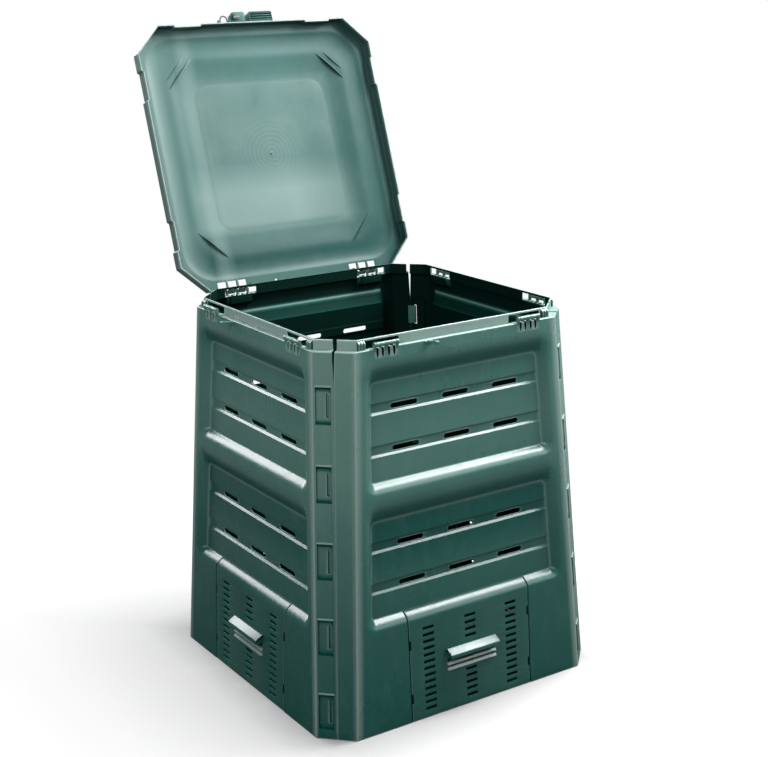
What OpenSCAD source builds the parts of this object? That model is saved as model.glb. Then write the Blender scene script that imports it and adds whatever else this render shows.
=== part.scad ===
// Compost bin of about 600 litres. Four identical moulded walls snap together at chamfered
// corners, each wall has a door that slides up, and a lid hinges on the back wall.
// Millimetres, +Z up, front wall towards -Y, origin on the ground at the middle of the base.

/* [Walls] */
// Width across opposite walls at the ground
base_width = 800; // [760:5:840]
// Width across opposite walls at the ledge under the lid
rim_width = 702; // [680:2:740]
// Height of the ledge that the lid closes on
ledge_height = 908; // [900:1:940]
// Plan length of a corner chamfer, measured along one wall
corner_leg = 70; // [66:1:80]
// Thickness of the moulded walls
wall = 3.5; // [3:0.1:4]
// Height of the lip above the ledge
lip_height = 23; // [22:0.5:28]
// How far the lip stands in from the outer face
lip_inset = 13; // [12:0.5:15]
// Gap in the seam between two walls
seam_gap = 0.3; // [0.2:0.1:0.6]

/* [Recessed fields] */
// Depth of the two recessed fields
field_depth = 20; // [18:1:24]
// Height of the flat floor of a field
field_height = 233; // [224:1:236]
// Height of the lower field's floor above the ground
lower_field = 274; // [270:1:280]
// Distance from the ledge down to the foot of the upper field's floor
upper_drop = 311; // [304:1:318]
// Width of the plain frame beside a field
frame_margin = 35; // [28:1:40]
// Width of the sloping side of a field
side_slope = 17; // [12:1:24]
// Height of the sloping top of a field
top_slope = 35; // [28:1:38]
// Height of the sloping foot of a field
foot_slope = 15; // [12:1:20]
// Radius of the corners of a field's floor
field_round = 14; // [8:1:20]

/* [Vent bands] */
// Depth of a band behind the planks
band_depth = 5; // [3:0.5:7]
// Height of a band
band_height = 27; // [22:1:30]
// Heights of the two rows of slots above the foot of a field
slot_rows = [72, 170];
// Distance between neighbouring slots
slot_pitch = 143; // [120:1:148]
// Length of a vent slot
slot_length = 74; // [50:1:90]
// Height of a vent slot
slot_height = 12; // [8:1:14]

/* [Doors] */
// Half of the width of a door
door_half = 177.5; // [160:0.5:185]
// Clearance between a door and its opening
door_gap = 1; // [0.6:0.1:1.5]
// Height of a door's foot above the ground
door_foot = 1; // [0.5:0.1:3]
// How far a door slides up
door_travel = 180; // [100:5:180]
// Distance between the rows of door slots
grille_pitch = 16.9; // [14:0.1:17]
// Height of the lowest row of door slots
grille_start = 23; // [20:1:26]
// Distance of the outer columns of door slots from the middle
grille_side = 121; // [105:1:130]
// Length of a door slot
grille_length = 32; // [20:1:36]
// Height of a door slot
grille_height = 6; // [4:0.5:8]
// Half of the length of the door's grip
grip_half = 72; // [50:1:80]
// How far the door's grip stands out
grip_reach = 21; // [15:1:26]
// Height of the top of the door's grip
grip_top = 157; // [154:1:160]

/* [Hinge stations] */
// Distance of a station from the middle of a wall
station_offset = 200; // [190:1:206]
// Radius of the hinge barrels
barrel_radius = 5; // [4:0.25:5.5]
// Height of the barrel axis above the ledge
barrel_rise = 10; // [9.8:0.1:11]
// How far the barrel axis stands out from the ledge's edge
barrel_out = 1; // [0.5:0.25:2]
// Length of the barrel between two lugs
barrel_length = 26; // [24:1:28]
// Thickness of the lugs that carry the barrels
lug_width = 4; // [3:0.5:5]

/* [Lid] */
// Open angle of the lid, measured from closed
lid_angle = 109; // [105:0.5:112]
// Half of the width of the lid at its corner caps and middle pads
lid_half = 348.5; // [347.5:0.25:349]
// How far the skirt steps in between the caps and the pads
skirt_step = 5; // [4:0.25:6]
// Height of the lid's skirt
skirt_height = 32.7; // [30:0.1:36]
// Thickness of the lid
lid_wall = 2.8; // [2.4:0.1:3]
// Half of the width of the raised middle of the lid
dome_half = 318; // [300:1:322]
// Height of the raised middle
dome_rise = 14; // [10:0.5:18]
// Radial clearance of the hinge hooks on the barrels
hinge_fit = 0.05; // [0.02:0.01:0.08]
// Gap between parts that come to rest on each other
rest_gap = 0.3; // [0.3:0.05:0.5]

/* [Latch] */
// Distance of the knob's axis from the middle of the lid
knob_offset = 48; // [45:1:50]
// Radius of the knob's shaft in its housing
knob_radius = 9; // [7:0.5:9]
// Radius of the knob's cam
cam_radius = 10; // [9:0.5:10.5]
// Distance of the wire bail from the middle of the lid
bail_offset = 84; // [80:1:86]
// Radius of the bail's wire
wire_radius = 2; // [1.5:0.1:2.1]
// Outer width of the bail
bail_width = 24; // [23:1:26]
// Length of the bail from its pivot to the middle of its end bar
bail_length = 15; // [12:0.5:16]
// How far the tie beaks stand out from the walls
beak_reach = 34; // [20:1:36]

/* [Hidden] */
$fn = 48;
base_half = base_width / 2;
rim_half = rim_width / 2;
lean = (base_half - rim_half) / ledge_height;
lean_angle = atan(lean);
lip_half = rim_half - lip_inset;
rim_height = ledge_height + lip_height;
upper_field = ledge_height - upper_drop;
far = 2 * base_width;
edge = 1;

// Pockets and hooks of the corner joints, measured from the seam
pocket_count = 5;
pocket_top = ledge_height - 80;
pocket_lowest = 108;
pocket_pitch = (pocket_top - pocket_lowest) / (pocket_count - 1);
pocket_height = 85;
pocket_near = 6;
pocket_far = 42;
pocket_depth = 6;
ridge_height = 5;
ridge_out = 1.5;
hook_slot_near = 12;
hook_slot_width = 6.5;
hook_slot_drop = 15;
hook_slot_height = 55;
hook_height = 50;
hook_wall = 3.5;
barb = 1.5;
notch_half = 4.5;
gap_top = 3;
notch_foot = 4;
gap_foot = 73;

// Door profile and its guides
door_shoulder = lower_field - foot_slope;
door_lip_out = 0.4;
door_top_depth = field_depth - door_lip_out;
tab_height = 24;
tab_low = 46;
tab_high = 180;
tab_reach = 8.5;
tab_clear = 0.4;
tab_wall = 3.2;
rail_space = 4.5;
rail_wall = 3;
rail_lip = 12;
rail_web = tab_reach + 1.5;
window_width = 5;
backing = 14;
recess_depth = 14;

// Lid hinge: the axis in plan and height, and its hooks
axis_out = rim_half + barrel_out;
axis_height = ledge_height + barrel_rise;
hook_offset = barrel_length / 2 + lug_width / 2;
hook_width = 5;
hook_radius = 8.5;
stop_width = 4;
stop_side = 7;
sleeve_width = 2 * stop_side + stop_width;
stop_offsets = [-hook_offset - stop_side, -hook_offset + stop_side,
                hook_offset - stop_side, hook_offset + stop_side];
taper_height = 22;
window_left = 48;
window_right = 43;
window_top = rim_height - 5;
box_half = 34;
box_wall = 3;
box_in = lip_half - wall - 6.5;
block_end = 267;
block_ribs = 3;
block_rib = 4.4;
block_step = 6.8;
block_start = block_end - (block_ribs - 1) * block_step - block_rib;
lid_bottom = ledge_height + rest_gap;
lid_top = lid_bottom + skirt_height;
cap_start = 235;
pad_half = 155;
step_run = 4;
dome_round = 85;
dome_run = 100;
cutout_half = 42;
cutout_reach = 26.5;
cutout_in = axis_out - cutout_reach;
arm_root = min(cutout_in, lid_half - 2 * lid_wall) - 3;
rib_offset = 232;

// Latch, on the front edge of the closed lid
grip_left = -62;
grip_right = 62;
housing_right = -20;
hood_left = -8;
grip_reach_out = 29;
grip_low = lid_bottom + 6.7;
housing_top = lid_bottom + 25.7;
grip_plate = 3.5;
grip_skin = 2.5;
knob_y = -lid_half - 14.5;
knob_fit = 0.05;
cam_height = 4;
cam_flat = 6;
bail_y = -lid_half - 4;
bail_z = lid_bottom + 8.7;
bail_arm = bail_width / 2 - wire_radius;
ear_inner = bail_arm + wire_radius + 1;
ear_width = 5;
ear_plate = 1.5;
ear_half = 4.5;
beak_top = ledge_height - 1;
beak_half = 4.5;

function half_at(z) = base_half - lean * z;
function face_half(z) = half_at(z) - corner_leg;
function corner_reach(z) = (2 * half_at(z) - corner_leg) / sqrt(2);
function inner_leg(leg, skin) = leg - skin * (2 - sqrt(2));
function octagon(half, leg) = [
    for (turn = [0:3], point = [[half, -(half - leg)], [half, half - leg]])
        [point[0] * cos(90 * turn) - point[1] * sin(90 * turn),
         point[0] * sin(90 * turn) + point[1] * cos(90 * turn)]];

// A profile drawn in depth and height, run along X from x0 to x1
module along_x(x0, x1, points) {
    translate([x0, 0, 0])
        rotate([90, 0, 90])
            linear_extrude(height = x1 - x0)
                polygon(points);
}

// Two opposite leaning faces, as one long wedge
module leaning_pair(low, high, z0, z1) {
    along_x(-far / 2, far / 2, [[-low, z0], [low, z0], [high, z1], [-high, z1]]);
}

// The bin's outer form, or its inner form when it is inset by the wall
module octagon_block(inset, z0, z1) {
    intersection() {
        leaning_pair(half_at(z0) - inset, half_at(z1) - inset, z0, z1);
        rotate([0, 0, 90])
            leaning_pair(half_at(z0) - inset, half_at(z1) - inset, z0, z1);
        rotate([0, 0, 45])
            leaning_pair(corner_reach(z0) - inset, corner_reach(z1) - inset, z0, z1);
        rotate([0, 0, -45])
            leaning_pair(corner_reach(z0) - inset, corner_reach(z1) - inset, z0, z1);
    }
}

module octagon_prism(half, leg, z0, z1) {
    translate([0, 0, z0])
        linear_extrude(height = z1 - z0)
            polygon(octagon(half, leg));
}

// Moves what is drawn against a flat face onto the leaning front wall: Y is depth, Z is height
module on_face() {
    translate([0, -base_half, 0])
        rotate([-lean_angle, 0, 0])
            children();
}

// The whole skin of the bin, with its ledge and lip
module skin() {
    difference() {
        union() {
            octagon_block(0, 0, ledge_height);
            octagon_prism(lip_half, corner_leg, ledge_height - wall, rim_height);
        }
        octagon_block(wall, -edge, ledge_height - wall);
        octagon_prism(lip_half - wall, inner_leg(corner_leg, wall),
                      ledge_height - wall - edge, rim_height + edge);
    }
}

// The quarter of the plan that belongs to the front wall
module quarter() {
    slack = seam_gap / sqrt(2);
    translate([0, 0, -edge])
        linear_extrude(height = rim_height + 2 * edge)
            polygon([[0, -slack], [-far, -far - slack], [far, -far - slack]]);
}

// How far a field's side lies outside its floor at a given depth
function reach(run, y, skin) =
    run * (1 - y / field_depth) + skin * sqrt(1 + pow(run / field_depth, 2));

// A recessed field, or the block around it when skin is the wall's thickness
module field(foot, skin) {
    front = skin == 0 ? -edge : 0;
    back = field_depth + skin;
    hull()
        for (y = [front, back], side = [-1, 1]) {
            r = field_round + (y == front ? 8 : 0);
            low = foot - reach(foot_slope, y, skin) + r;
            high = foot + field_height + reach(top_slope, y, skin) - r;
            for (z = [low, high])
                translate([side * (floor_half(z) + reach(side_slope, y, skin) - r), y, z])
                    rotate([90, 0, 0])
                        cylinder(h = 0.02, r = r, center = true, $fn = 32);
        }
}

function floor_half(z) = face_half(z) - frame_margin - side_slope;

// One band between two planks: a square edge above, a sloping ledge below
module band(row) {
    low = row - band_height / 2;
    high = row + band_height / 2;
    along_x(-floor_half(row), floor_half(row),
            [[field_depth - edge, low - edge], [field_depth + band_depth, low + band_depth],
             [field_depth + band_depth, high], [field_depth - edge, high]]);
}

module band_back(row) {
    low = row - band_height / 2 - wall;
    high = row + band_height / 2 + wall;
    deep = field_depth + band_depth + wall;
    along_x(-floor_half(row) - wall, floor_half(row) + wall,
            [[field_depth, low], [deep, low + band_depth], [deep, high], [field_depth, high]]);
}

// A slot with round ends through the wall
module vent_slot(length, height, deep) {
    straight = length - height;
    for (side = [-1, 1])
        translate([side * straight / 2, 0, 0])
            rotate([90, 0, 0])
                cylinder(h = deep, r = height / 2, center = true, $fn = 24);
    cube([straight, deep, height], center = true);
}

// The pocket that a neighbour's hook comes up in, drawn against a corner face
module corner_slab(s0, s1, z0, z1, d0, d1) {
    low = -corner_reach(z0);
    high = -corner_reach(z1);
    along_x(s0, s1, [[low + d0, z0], [low + d1, z0], [high + d1, z1], [high + d0, z1]]);
}

module pocket_solid(top) {
    corner_slab(-pocket_far - wall, -pocket_near + wall, top - pocket_height - wall, top + wall,
                wall / 2, pocket_depth + wall);
    corner_slab(-pocket_far, -pocket_near, top, top + ridge_height, -ridge_out, wall / 2);
}

module pocket_cut(top) {
    corner_slab(-pocket_far, -pocket_near, top - pocket_height, top, -5, pocket_depth);
    corner_slab(-hook_slot_near - hook_slot_width, -hook_slot_near,
                top - hook_slot_drop - hook_slot_height, top - hook_slot_drop,
                -5, pocket_depth + 2 * wall);
    corner_slab(-hook_slot_near - 16, -hook_slot_near + 2, top - pocket_height + 3,
                top - pocket_height + 6, -5, pocket_depth + 2 * wall);
}

// The clip that reaches behind the neighbour's pocket and out through its slot
module corner_hook(top) {
    high = top - hook_slot_drop - (hook_slot_height - hook_height) / 2;
    low = high - hook_height;
    back = pocket_depth + wall + rest_gap;
    stem = -hook_slot_near - 0.5;
    corner_slab(1, 1 + hook_wall, low, high, wall / 2, back + hook_wall);
    corner_slab(stem - hook_wall, 1 + hook_wall, low, high, back, back + hook_wall);
    corner_slab(stem - hook_wall, stem, low, high, 1, back + hook_wall);
    corner_slab(stem - hook_wall - barb, stem - hook_wall, low, high, pocket_depth - 2.5,
                pocket_depth - rest_gap);
}

// The notches at the top and the foot of a corner seam
module seam_cut() {
    rotate([90, 0, 0])
        linear_extrude(height = far / 2)
            polygon([[-notch_half, rim_height + edge], [-notch_half, ledge_height],
                     [-gap_top, ledge_height - 2], [-seam_gap, ledge_height - gap_foot],
                     [seam_gap, ledge_height - gap_foot], [gap_top, ledge_height - 2],
                     [notch_half, ledge_height], [notch_half, rim_height + edge]]);
    rotate([90, 0, 0])
        linear_extrude(height = far / 2)
            polygon([[-2, -edge], [2, -edge], [1, notch_foot * 2], [-1, notch_foot * 2]]);
}

// One lug that carries the barrels, standing on the ledge
module barrel_lug(x) {
    inner = axis_out - barrel_radius - 1;
    outer = axis_out + barrel_radius;
    along_x(x - lug_width / 2, x + lug_width / 2,
            [[-inner, ledge_height - wall], [-inner, axis_height + 2],
             [-inner - 3, axis_height + barrel_radius],
             [-axis_out - 2, axis_height + barrel_radius], [-outer, axis_height + 2],
             [-outer, axis_height - 2], [-rim_half, ledge_height - wall - 3],
             [-rim_half + wall, ledge_height - wall - 3]]);
}

module barrels(middle) {
    spread = barrel_length + lug_width;
    for (step = [-1, 0, 1])
        barrel_lug(middle + step * spread);
    translate([middle - spread, -axis_out, axis_height])
        rotate([0, 90, 0])
            cylinder(h = 2 * spread, r = barrel_radius);
}

// The tapering slots under the barrels, and the window in the lip behind them
module station_cut(middle) {
    translate([middle - window_left, -lip_half - edge, ledge_height])
        cube([window_left + window_right, wall + 2 * edge, window_top - ledge_height]);
    for (offset = stop_offsets)
        translate([middle + offset, 0, 0])
            rotate([90, 0, 0])
                translate([0, 0, lip_half - wall - edge])
                    linear_extrude(height = lip_inset + wall + 4)
                        polygon([[-3.5, ledge_height + edge], [-3.2, ledge_height - 12],
                                 [-1.5, ledge_height - taper_height],
                                 [0.5, ledge_height - taper_height],
                                 [3.2, ledge_height - 10], [3.5, ledge_height + edge]]);
}

// The box inside the wall that closes the slots of a station off from the compost
module station_box(middle) {
    low = ledge_height - taper_height - 10;
    difference() {
        along_x(middle - box_half, middle + box_half,
                [[-half_at(low) + wall / 2, low], [-box_in, low + 12], [-box_in, ledge_height],
                 [-lip_half + wall / 2, ledge_height], [-rim_half + wall, ledge_height - wall / 2]]);
        along_x(middle - box_half + box_wall, middle + box_half - box_wall,
                [[-half_at(low), low + 4], [-box_in - box_wall, low + 14],
                 [-box_in - box_wall, ledge_height - wall], [-half_at(low), ledge_height - wall]]);
    }
}

// The ribbed block at each end of the lip
module rim_block() {
    along_x(block_start, block_end,
            [[-lip_half + wall / 2, ledge_height - wall / 2],
             [-lip_half - 4, ledge_height - wall / 2],
             [-lip_half - 4, rim_height - 7], [-lip_half + wall / 2, rim_height - 3]]);
    for (i = [0:block_ribs - 1])
        along_x(block_start + i * block_step, block_start + i * block_step + block_rib,
                [[-lip_half + wall / 2, ledge_height - wall / 2],
                 [-lip_half - 7, ledge_height - wall / 2],
                 [-lip_half - 7, rim_height - 8], [-lip_half + wall / 2, rim_height - 2]]);
}

// The beak under the rim that a cord from the latch bail is tied to
module tie_beak() {
    tip = -rim_half - beak_reach;
    along_x(-bail_offset - beak_half, -bail_offset + beak_half,
            [[-half_at(beak_top) + wall / 2, beak_top - 12], [-half_at(beak_top), beak_top - 12],
             [-rim_half - 8, beak_top - 4], [tip + 8, beak_top - 1.5], [tip + 4, beak_top - 3.5],
             [tip, beak_top - 2.5], [tip, beak_top + 2.5], [tip + 7, beak_top + 4],
             [-rim_half - 8, beak_top], [-half_at(beak_top) + wall / 2, beak_top]]);
    along_x(-bail_offset - 3 * beak_half, -bail_offset + 2 * beak_half,
            [[-half_at(beak_top) + wall / 2, beak_top - 5], [-rim_half - 3, beak_top - 3.5],
             [-rim_half - 3, beak_top - 1.5], [-half_at(beak_top) + wall / 2, beak_top]]);
}

// The opening for the door, which leaves a strip behind the door's top edge
module door_cut() {
    half = door_half + door_gap;
    along_x(-half, half,
            [[-10, -20], [field_depth + 20, -20], [field_depth + 20, lower_field - backing],
             [field_depth, lower_field - backing], [field_depth, lower_field + 20],
             [-10, lower_field + 20]]);
}

// The guide channel behind one side of the door opening
module door_rail(side) {
    web = door_half + door_gap + rail_web;
    deep = wall + rail_space + rail_wall;
    foot = door_foot + 5;
    rail_top = tab_low + tab_height + door_travel + 5;
    mirror([side < 0 ? 1 : 0, 0, 0]) {
        along_x(web, web + rail_wall,
                [[wall / 2, foot], [deep, foot], [deep, rail_top], [wall / 2, rail_top]]);
        along_x(door_half - rail_lip, web + rail_wall,
                [[deep - rail_wall, foot], [deep, foot], [deep, rail_top],
                 [deep - rail_wall, rail_top]]);
        along_x(door_half + door_gap + 1.5, web + rail_wall,
                [[wall / 2, tab_low - rest_gap - 8], [deep, tab_low - rest_gap - 8],
                 [deep, tab_low - rest_gap], [wall / 2, tab_low - rest_gap]]);
    }
}

// One wall as it stands at the front
module wall_shape() {
    difference() {
        union() {
            intersection() {
                skin();
                quarter();
            }
            intersection() {
                on_face() {
                    for (foot = [lower_field, upper_field]) {
                        field(foot, wall);
                        for (row = slot_rows)
                            band_back(foot + row);
                    }
                    along_x(-door_half - 12, door_half + 12,
                            [[field_depth, lower_field - backing],
                             [field_depth + wall, lower_field - backing],
                             [field_depth + wall, lower_field + 4],
                             [field_depth, lower_field + 4]]);
                    for (side = [-1, 1])
                        door_rail(side);
                }
                octagon_block(0, 0, ledge_height);
            }
            rotate([0, 0, 45])
                for (i = [0:pocket_count - 1])
                    pocket_solid(pocket_top - i * pocket_pitch);
            rotate([0, 0, -45])
                for (i = [0:pocket_count - 1])
                    corner_hook(pocket_top - i * pocket_pitch);
            tie_beak();
            for (side = [-1, 1]) {
                station_box(side * station_offset);
                mirror([side < 0 ? 1 : 0, 0, 0])
                    rim_block();
            }
        }
        translate([-bail_offset - 8, -lip_half - edge, rim_height - 5])
            cube([12, wall + 2 * edge, 5 + edge]);
        on_face() {
            for (foot = [lower_field, upper_field]) {
                field(foot, 0);
                for (row = slot_rows) {
                    band(foot + row);
                    for (column = [-1, 0, 1])
                        translate([column * slot_pitch, field_depth, foot + row])
                            vent_slot(slot_length, slot_height, 2 * field_depth);
                }
            }
            door_cut();
        }
        rotate([0, 0, 45])
            for (i = [0:pocket_count - 1])
                pocket_cut(pocket_top - i * pocket_pitch);
        for (turn = [-45, 45])
            rotate([0, 0, turn])
                seam_cut();
        for (side = [-1, 1])
            station_cut(side * station_offset);
    }
    for (side = [-1, 1])
        barrels(side * station_offset);
}

// One door as it stands at the front
module door_shape() {
    rise = door_top_depth - wall;
    slope = foot_slope * rise / field_depth;
    top = door_shoulder + slope + 2.5;
    on_face() {
        difference() {
            along_x(-door_half, door_half,
                    [[0, door_foot], [0, door_shoulder], [rise, door_shoulder + slope],
                     [rise, top], [door_top_depth, top], [door_top_depth, door_shoulder + slope],
                     [wall, door_shoulder - 1], [wall, door_foot]]);
            for (row = [0:12]) {
                z = grille_start + row * grille_pitch;
                for (side = [-1, 1])
                    translate([side * grille_side, 0, z])
                        cube([grille_length, 20, grille_height], center = true);
                if (row < 5 || row > 8)
                    translate([0, 0, z])
                        cube([grille_length, 20, grille_height], center = true);
            }
            for (side = [-1, 1], low = [tab_low, tab_high])
                translate([side * (door_half - window_width / 2), 0, low + tab_height / 2])
                    cube([window_width, 3 * wall, tab_height], center = true);
            along_x(-grip_half + wall, grip_half - wall,
                    [[-edge, grip_top - 50], [wall + edge, grip_top - 50],
                     [wall + edge, grip_top - 7], [-edge, grip_top - 7]]);
        }
        door_grip();
        for (side = [-1, 1])
            mirror([side < 0 ? 1 : 0, 0, 0]) {
                guide_tab(tab_low, tab_reach);
                guide_tab(tab_high, -1);
            }
    }
}

// A tab behind the door's edge: the lower one runs in the guide channel
module guide_tab(low, out) {
    high = low + tab_height;
    along_x(door_half - window_width - 6, door_half + out,
            [[wall + tab_clear, low], [wall + tab_clear + tab_wall, low],
             [wall + tab_clear + tab_wall, high], [wall + tab_clear, high]]);
    along_x(door_half - window_width - 6, door_half - window_width,
            [[wall / 2, low], [wall + tab_clear + tab_wall, low],
             [wall + tab_clear + tab_wall, high], [wall / 2, high]]);
}

// The hooded grip of a door and the finger recess under it
module door_grip() {
    low = grip_top - 22;
    difference() {
        along_x(-grip_half, grip_half,
                [[wall / 2, grip_top], [-grip_reach + 2, grip_top - 4], [-grip_reach, low],
                 [wall / 2, low]]);
        along_x(-grip_half + wall, grip_half - wall,
                [[wall + edge, grip_top - 6.5], [-grip_reach + 5, grip_top - 8],
                 [-grip_reach + 3.5, low - edge], [wall + edge, low - edge]]);
    }
    difference() {
        along_x(-grip_half, grip_half,
                [[-3.5, grip_top - 53.5], [recess_depth + wall, grip_top - 53],
                 [recess_depth + wall, grip_top - 4], [wall / 2, grip_top - 4],
                 [wall / 2, grip_top - 47], [-3.5, grip_top - 50.5]]);
        along_x(-grip_half + wall, grip_half - wall,
                [[-5, grip_top - 50], [recess_depth, grip_top - 50],
                 [recess_depth, grip_top - 7], [-5, grip_top - 7]]);
    }
    along_x(-grip_half + 1, grip_half - 1,
            [[-3, grip_top - 40], [recess_depth + wall / 2, grip_top - 40],
             [recess_depth + wall / 2, grip_top - 37], [-3, grip_top - 37.5]]);
}

// Outline of the lid's skirt: caps at the corners and a pad in the middle of each side
function skirt_side(inset) = [
    [lid_half - inset, -(lid_half - corner_leg) - 1],
    [lid_half - inset, -cap_start],
    [lid_half - skirt_step - inset, -cap_start + step_run],
    [lid_half - skirt_step - inset, -pad_half - step_run],
    [lid_half - inset, -pad_half],
    [lid_half - inset, pad_half],
    [lid_half - skirt_step - inset, pad_half + step_run],
    [lid_half - skirt_step - inset, cap_start - step_run],
    [lid_half - inset, cap_start],
    [lid_half - inset, lid_half - corner_leg + 1]];
function turned(points, turn) = [
    for (p = points) [p[0] * cos(turn) - p[1] * sin(turn), p[0] * sin(turn) + p[1] * cos(turn)]];
function skirt_outline(inset) = [for (turn = [0:3]) each turned(skirt_side(inset), 90 * turn)];

module skirt_prism(inset, z0, z1) {
    translate([0, 0, z0])
        linear_extrude(height = z1 - z0)
            polygon(skirt_outline(inset));
}

// The raised middle of the lid
module dome(drop, z0) {
    hull() {
        for (x = [-1, 1], y = [-1, 1]) {
            translate([x * (dome_half - dome_round), y * (dome_half - dome_round), z0])
                cylinder(h = 0.1, r = dome_round - drop, $fn = 32);
            translate([x * (dome_half - dome_round - 30), y * (dome_half - dome_round - 30),
                       lid_top + dome_rise - 0.1 - drop])
                cylinder(h = 0.1, r = dome_round - dome_run + 30, $fn = 32);
        }
    }
}

// Moves what is drawn for the closed lid to its open place
module opened() {
    translate([0, axis_out, axis_height])
        rotate([-lid_angle, 0, 0])
            translate([0, -axis_out, -axis_height])
                children();
}

// One hook round a barrel: a sleeve with a mouth to snap on, hung from a narrow arm
module hinge_hook(x) {
    mouth = hook_radius + edge;
    difference() {
        translate([x - sleeve_width / 2, axis_out, axis_height])
            rotate([0, 90, 0])
                cylinder(h = sleeve_width, r = hook_radius);
        translate([x - sleeve_width, axis_out, axis_height])
            rotate([0, 90, 0])
                cylinder(h = 2 * sleeve_width, r = barrel_radius + hinge_fit);
        translate([x - sleeve_width, axis_out + edge, axis_height - mouth])
            cube([2 * sleeve_width, mouth, mouth]);
    }
    along_x(x - hook_width / 2, x + hook_width / 2,
            [[arm_root, lid_top], [axis_out - 1, lid_top],
             [axis_out + 4, lid_top - 5], [axis_out + 4, axis_height + barrel_radius + 1.5],
             [axis_out - 4, axis_height + barrel_radius + 1.5], [axis_out - 6, lid_top - 8],
             [arm_root, lid_top - 5]]);
}

// One stop that passes under the lip's top strip and bears on it when the lid is open
module lid_stop(x) {
    under = window_top - rest_gap;
    tip = lip_half - wall + rest_gap;
    along_x(x - stop_width / 2, x + stop_width / 2,
            [[tip, under], [tip, under - 2.5], [lip_half + 2, under - 3.7],
             [axis_out - 7.2, axis_height + 3.2], [axis_out - 5.2, axis_height + 4.2],
             [axis_out - 3.6, axis_height + 6.8], [axis_out - 5.4, under + 1.8],
             [lip_half + 3, under + 1.8], [lip_half + 0.8, under]]);
}

module lid_shape() {
    opened() {
        difference() {
            union() {
                skirt_prism(0, lid_bottom, lid_top);
                dome(0, lid_top - lid_wall);
            }
            skirt_prism(lid_wall, lid_bottom - edge, lid_top - lid_wall);
            dome(lid_wall, lid_top - 2 * lid_wall);
            for (side = [-1, 1])
                translate([side * station_offset - cutout_half, cutout_in, lid_bottom - edge])
                    cube([2 * cutout_half, lid_half - cutout_in + cutout_reach,
                          skirt_height + 2 * edge]);
            for (side = [-1, 1])
                mirror([side < 0 ? 1 : 0, 0, 0])
                    translate([block_start - 3, lid_half - 2 * lid_wall, lid_bottom - edge])
                        cube([block_end - block_start + 6, 3 * lid_wall,
                              axis_height - lid_bottom + edge]);
            translate([-74, lid_half - 12, lid_bottom])
                cube([8, 6, skirt_height + edge]);
        }
        intersection() {
            dome(0, lid_top - lid_wall);
            for (x = [-1, 1], y = [-1, 1])
                translate([x * rib_offset, y * rib_offset, 0])
                    rotate([0, 0, -45 * x * y])
                        translate([-60, -1.5, lid_top - 2])
                            cube([120, 3, dome_rise + 2]);
        }
        for (side = [-1, 1], step = [-1, 1])
            hinge_hook(side * station_offset + step * hook_offset);
    }
    for (side = [-1, 1], offset = stop_offsets)
        lid_stop(side * station_offset + offset);
}

// A block with two rounded outer corners, from the lid's front face outwards
module grip_block(x0, x1, out, z0, z1, round_left, round_right) {
    front = -lid_half - out;
    translate([x0, front + round_left, z0])
        cube([x1 - x0, out - round_left, z1 - z0]);
    translate([x0 + round_left, front, z0])
        cube([x1 - x0 - round_left - round_right, round_left + edge, z1 - z0]);
    translate([x0 + round_left, front + round_left, z0])
        cylinder(h = z1 - z0, r = round_left);
    translate([x1 - round_right, front + round_right, z0])
        cylinder(h = z1 - z0, r = round_right);
}

// The finger grip on the lid's front edge, with the housing of the latch knob
module grip_shape() {
    ribs = 4;
    rib_pitch = 6;
    hood_front = -lid_half - grip_reach_out + grip_skin;
    opened()
        difference() {
            union() {
                grip_block(grip_left, housing_right, grip_reach_out, grip_low, housing_top, 5, 5);
                grip_block(hood_left, grip_right, grip_reach_out, grip_low, lid_top, 5, 5);
                translate([grip_left, -lid_half - grip_plate, grip_low])
                    cube([grip_right - grip_left, grip_plate, lid_top - grip_low]);
                bail_ears();
            }
            translate([hood_left + grip_skin, hood_front, grip_low - edge])
                cube([grip_right - hood_left - 2 * grip_skin,
                      grip_reach_out - grip_skin - grip_plate, lid_top - grip_low - grip_skin]);
            translate([-knob_offset, knob_y, grip_low - edge])
                cylinder(h = lid_top - grip_low + 2 * edge, r = knob_radius + knob_fit);
            translate([-bail_offset - bail_width, bail_y, bail_z])
                rotate([0, 90, 0])
                    cylinder(h = 2 * bail_width, r = wire_radius + knob_fit);
        }
    opened()
        for (i = [0:ribs - 1])
            translate([hood_left + 1, hood_front + 1.5 + i * rib_pitch, grip_low + 4])
                cube([grip_right - hood_left - 2, 2.2, lid_top - grip_low - 5]);
}

// Two ears with bores for the ends of the bail, on a thin plate
module bail_ears() {
    low = bail_z - ear_half;
    for (side = [-1, 1])
        translate([-bail_offset + side * (ear_inner + ear_width / 2) - ear_width / 2,
                   bail_y - ear_half, low])
            cube([ear_width, -lid_half - bail_y + ear_half, 2 * ear_half]);
    translate([-bail_offset - ear_inner - ear_width, -lid_half - ear_plate, low])
        cube([bail_offset + ear_inner + ear_width + grip_left + edge, ear_plate, lid_top - low]);
}

// Quarter-turn knob: a cap above the housing and the shaft through it
module knob_shape() {
    opened()
        translate([-knob_offset, knob_y, 0]) {
            translate([0, 0, grip_low - rest_gap])
                cylinder(h = housing_top + 2 * rest_gap - grip_low, r = knob_radius);
            translate([0, 0, housing_top + rest_gap])
                cylinder(h = 5, r = knob_radius + 1.5);
            translate([-knob_radius, -3, housing_top + rest_gap + 4])
                cube([2 * knob_radius, 6, 7]);
        }
}

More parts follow.
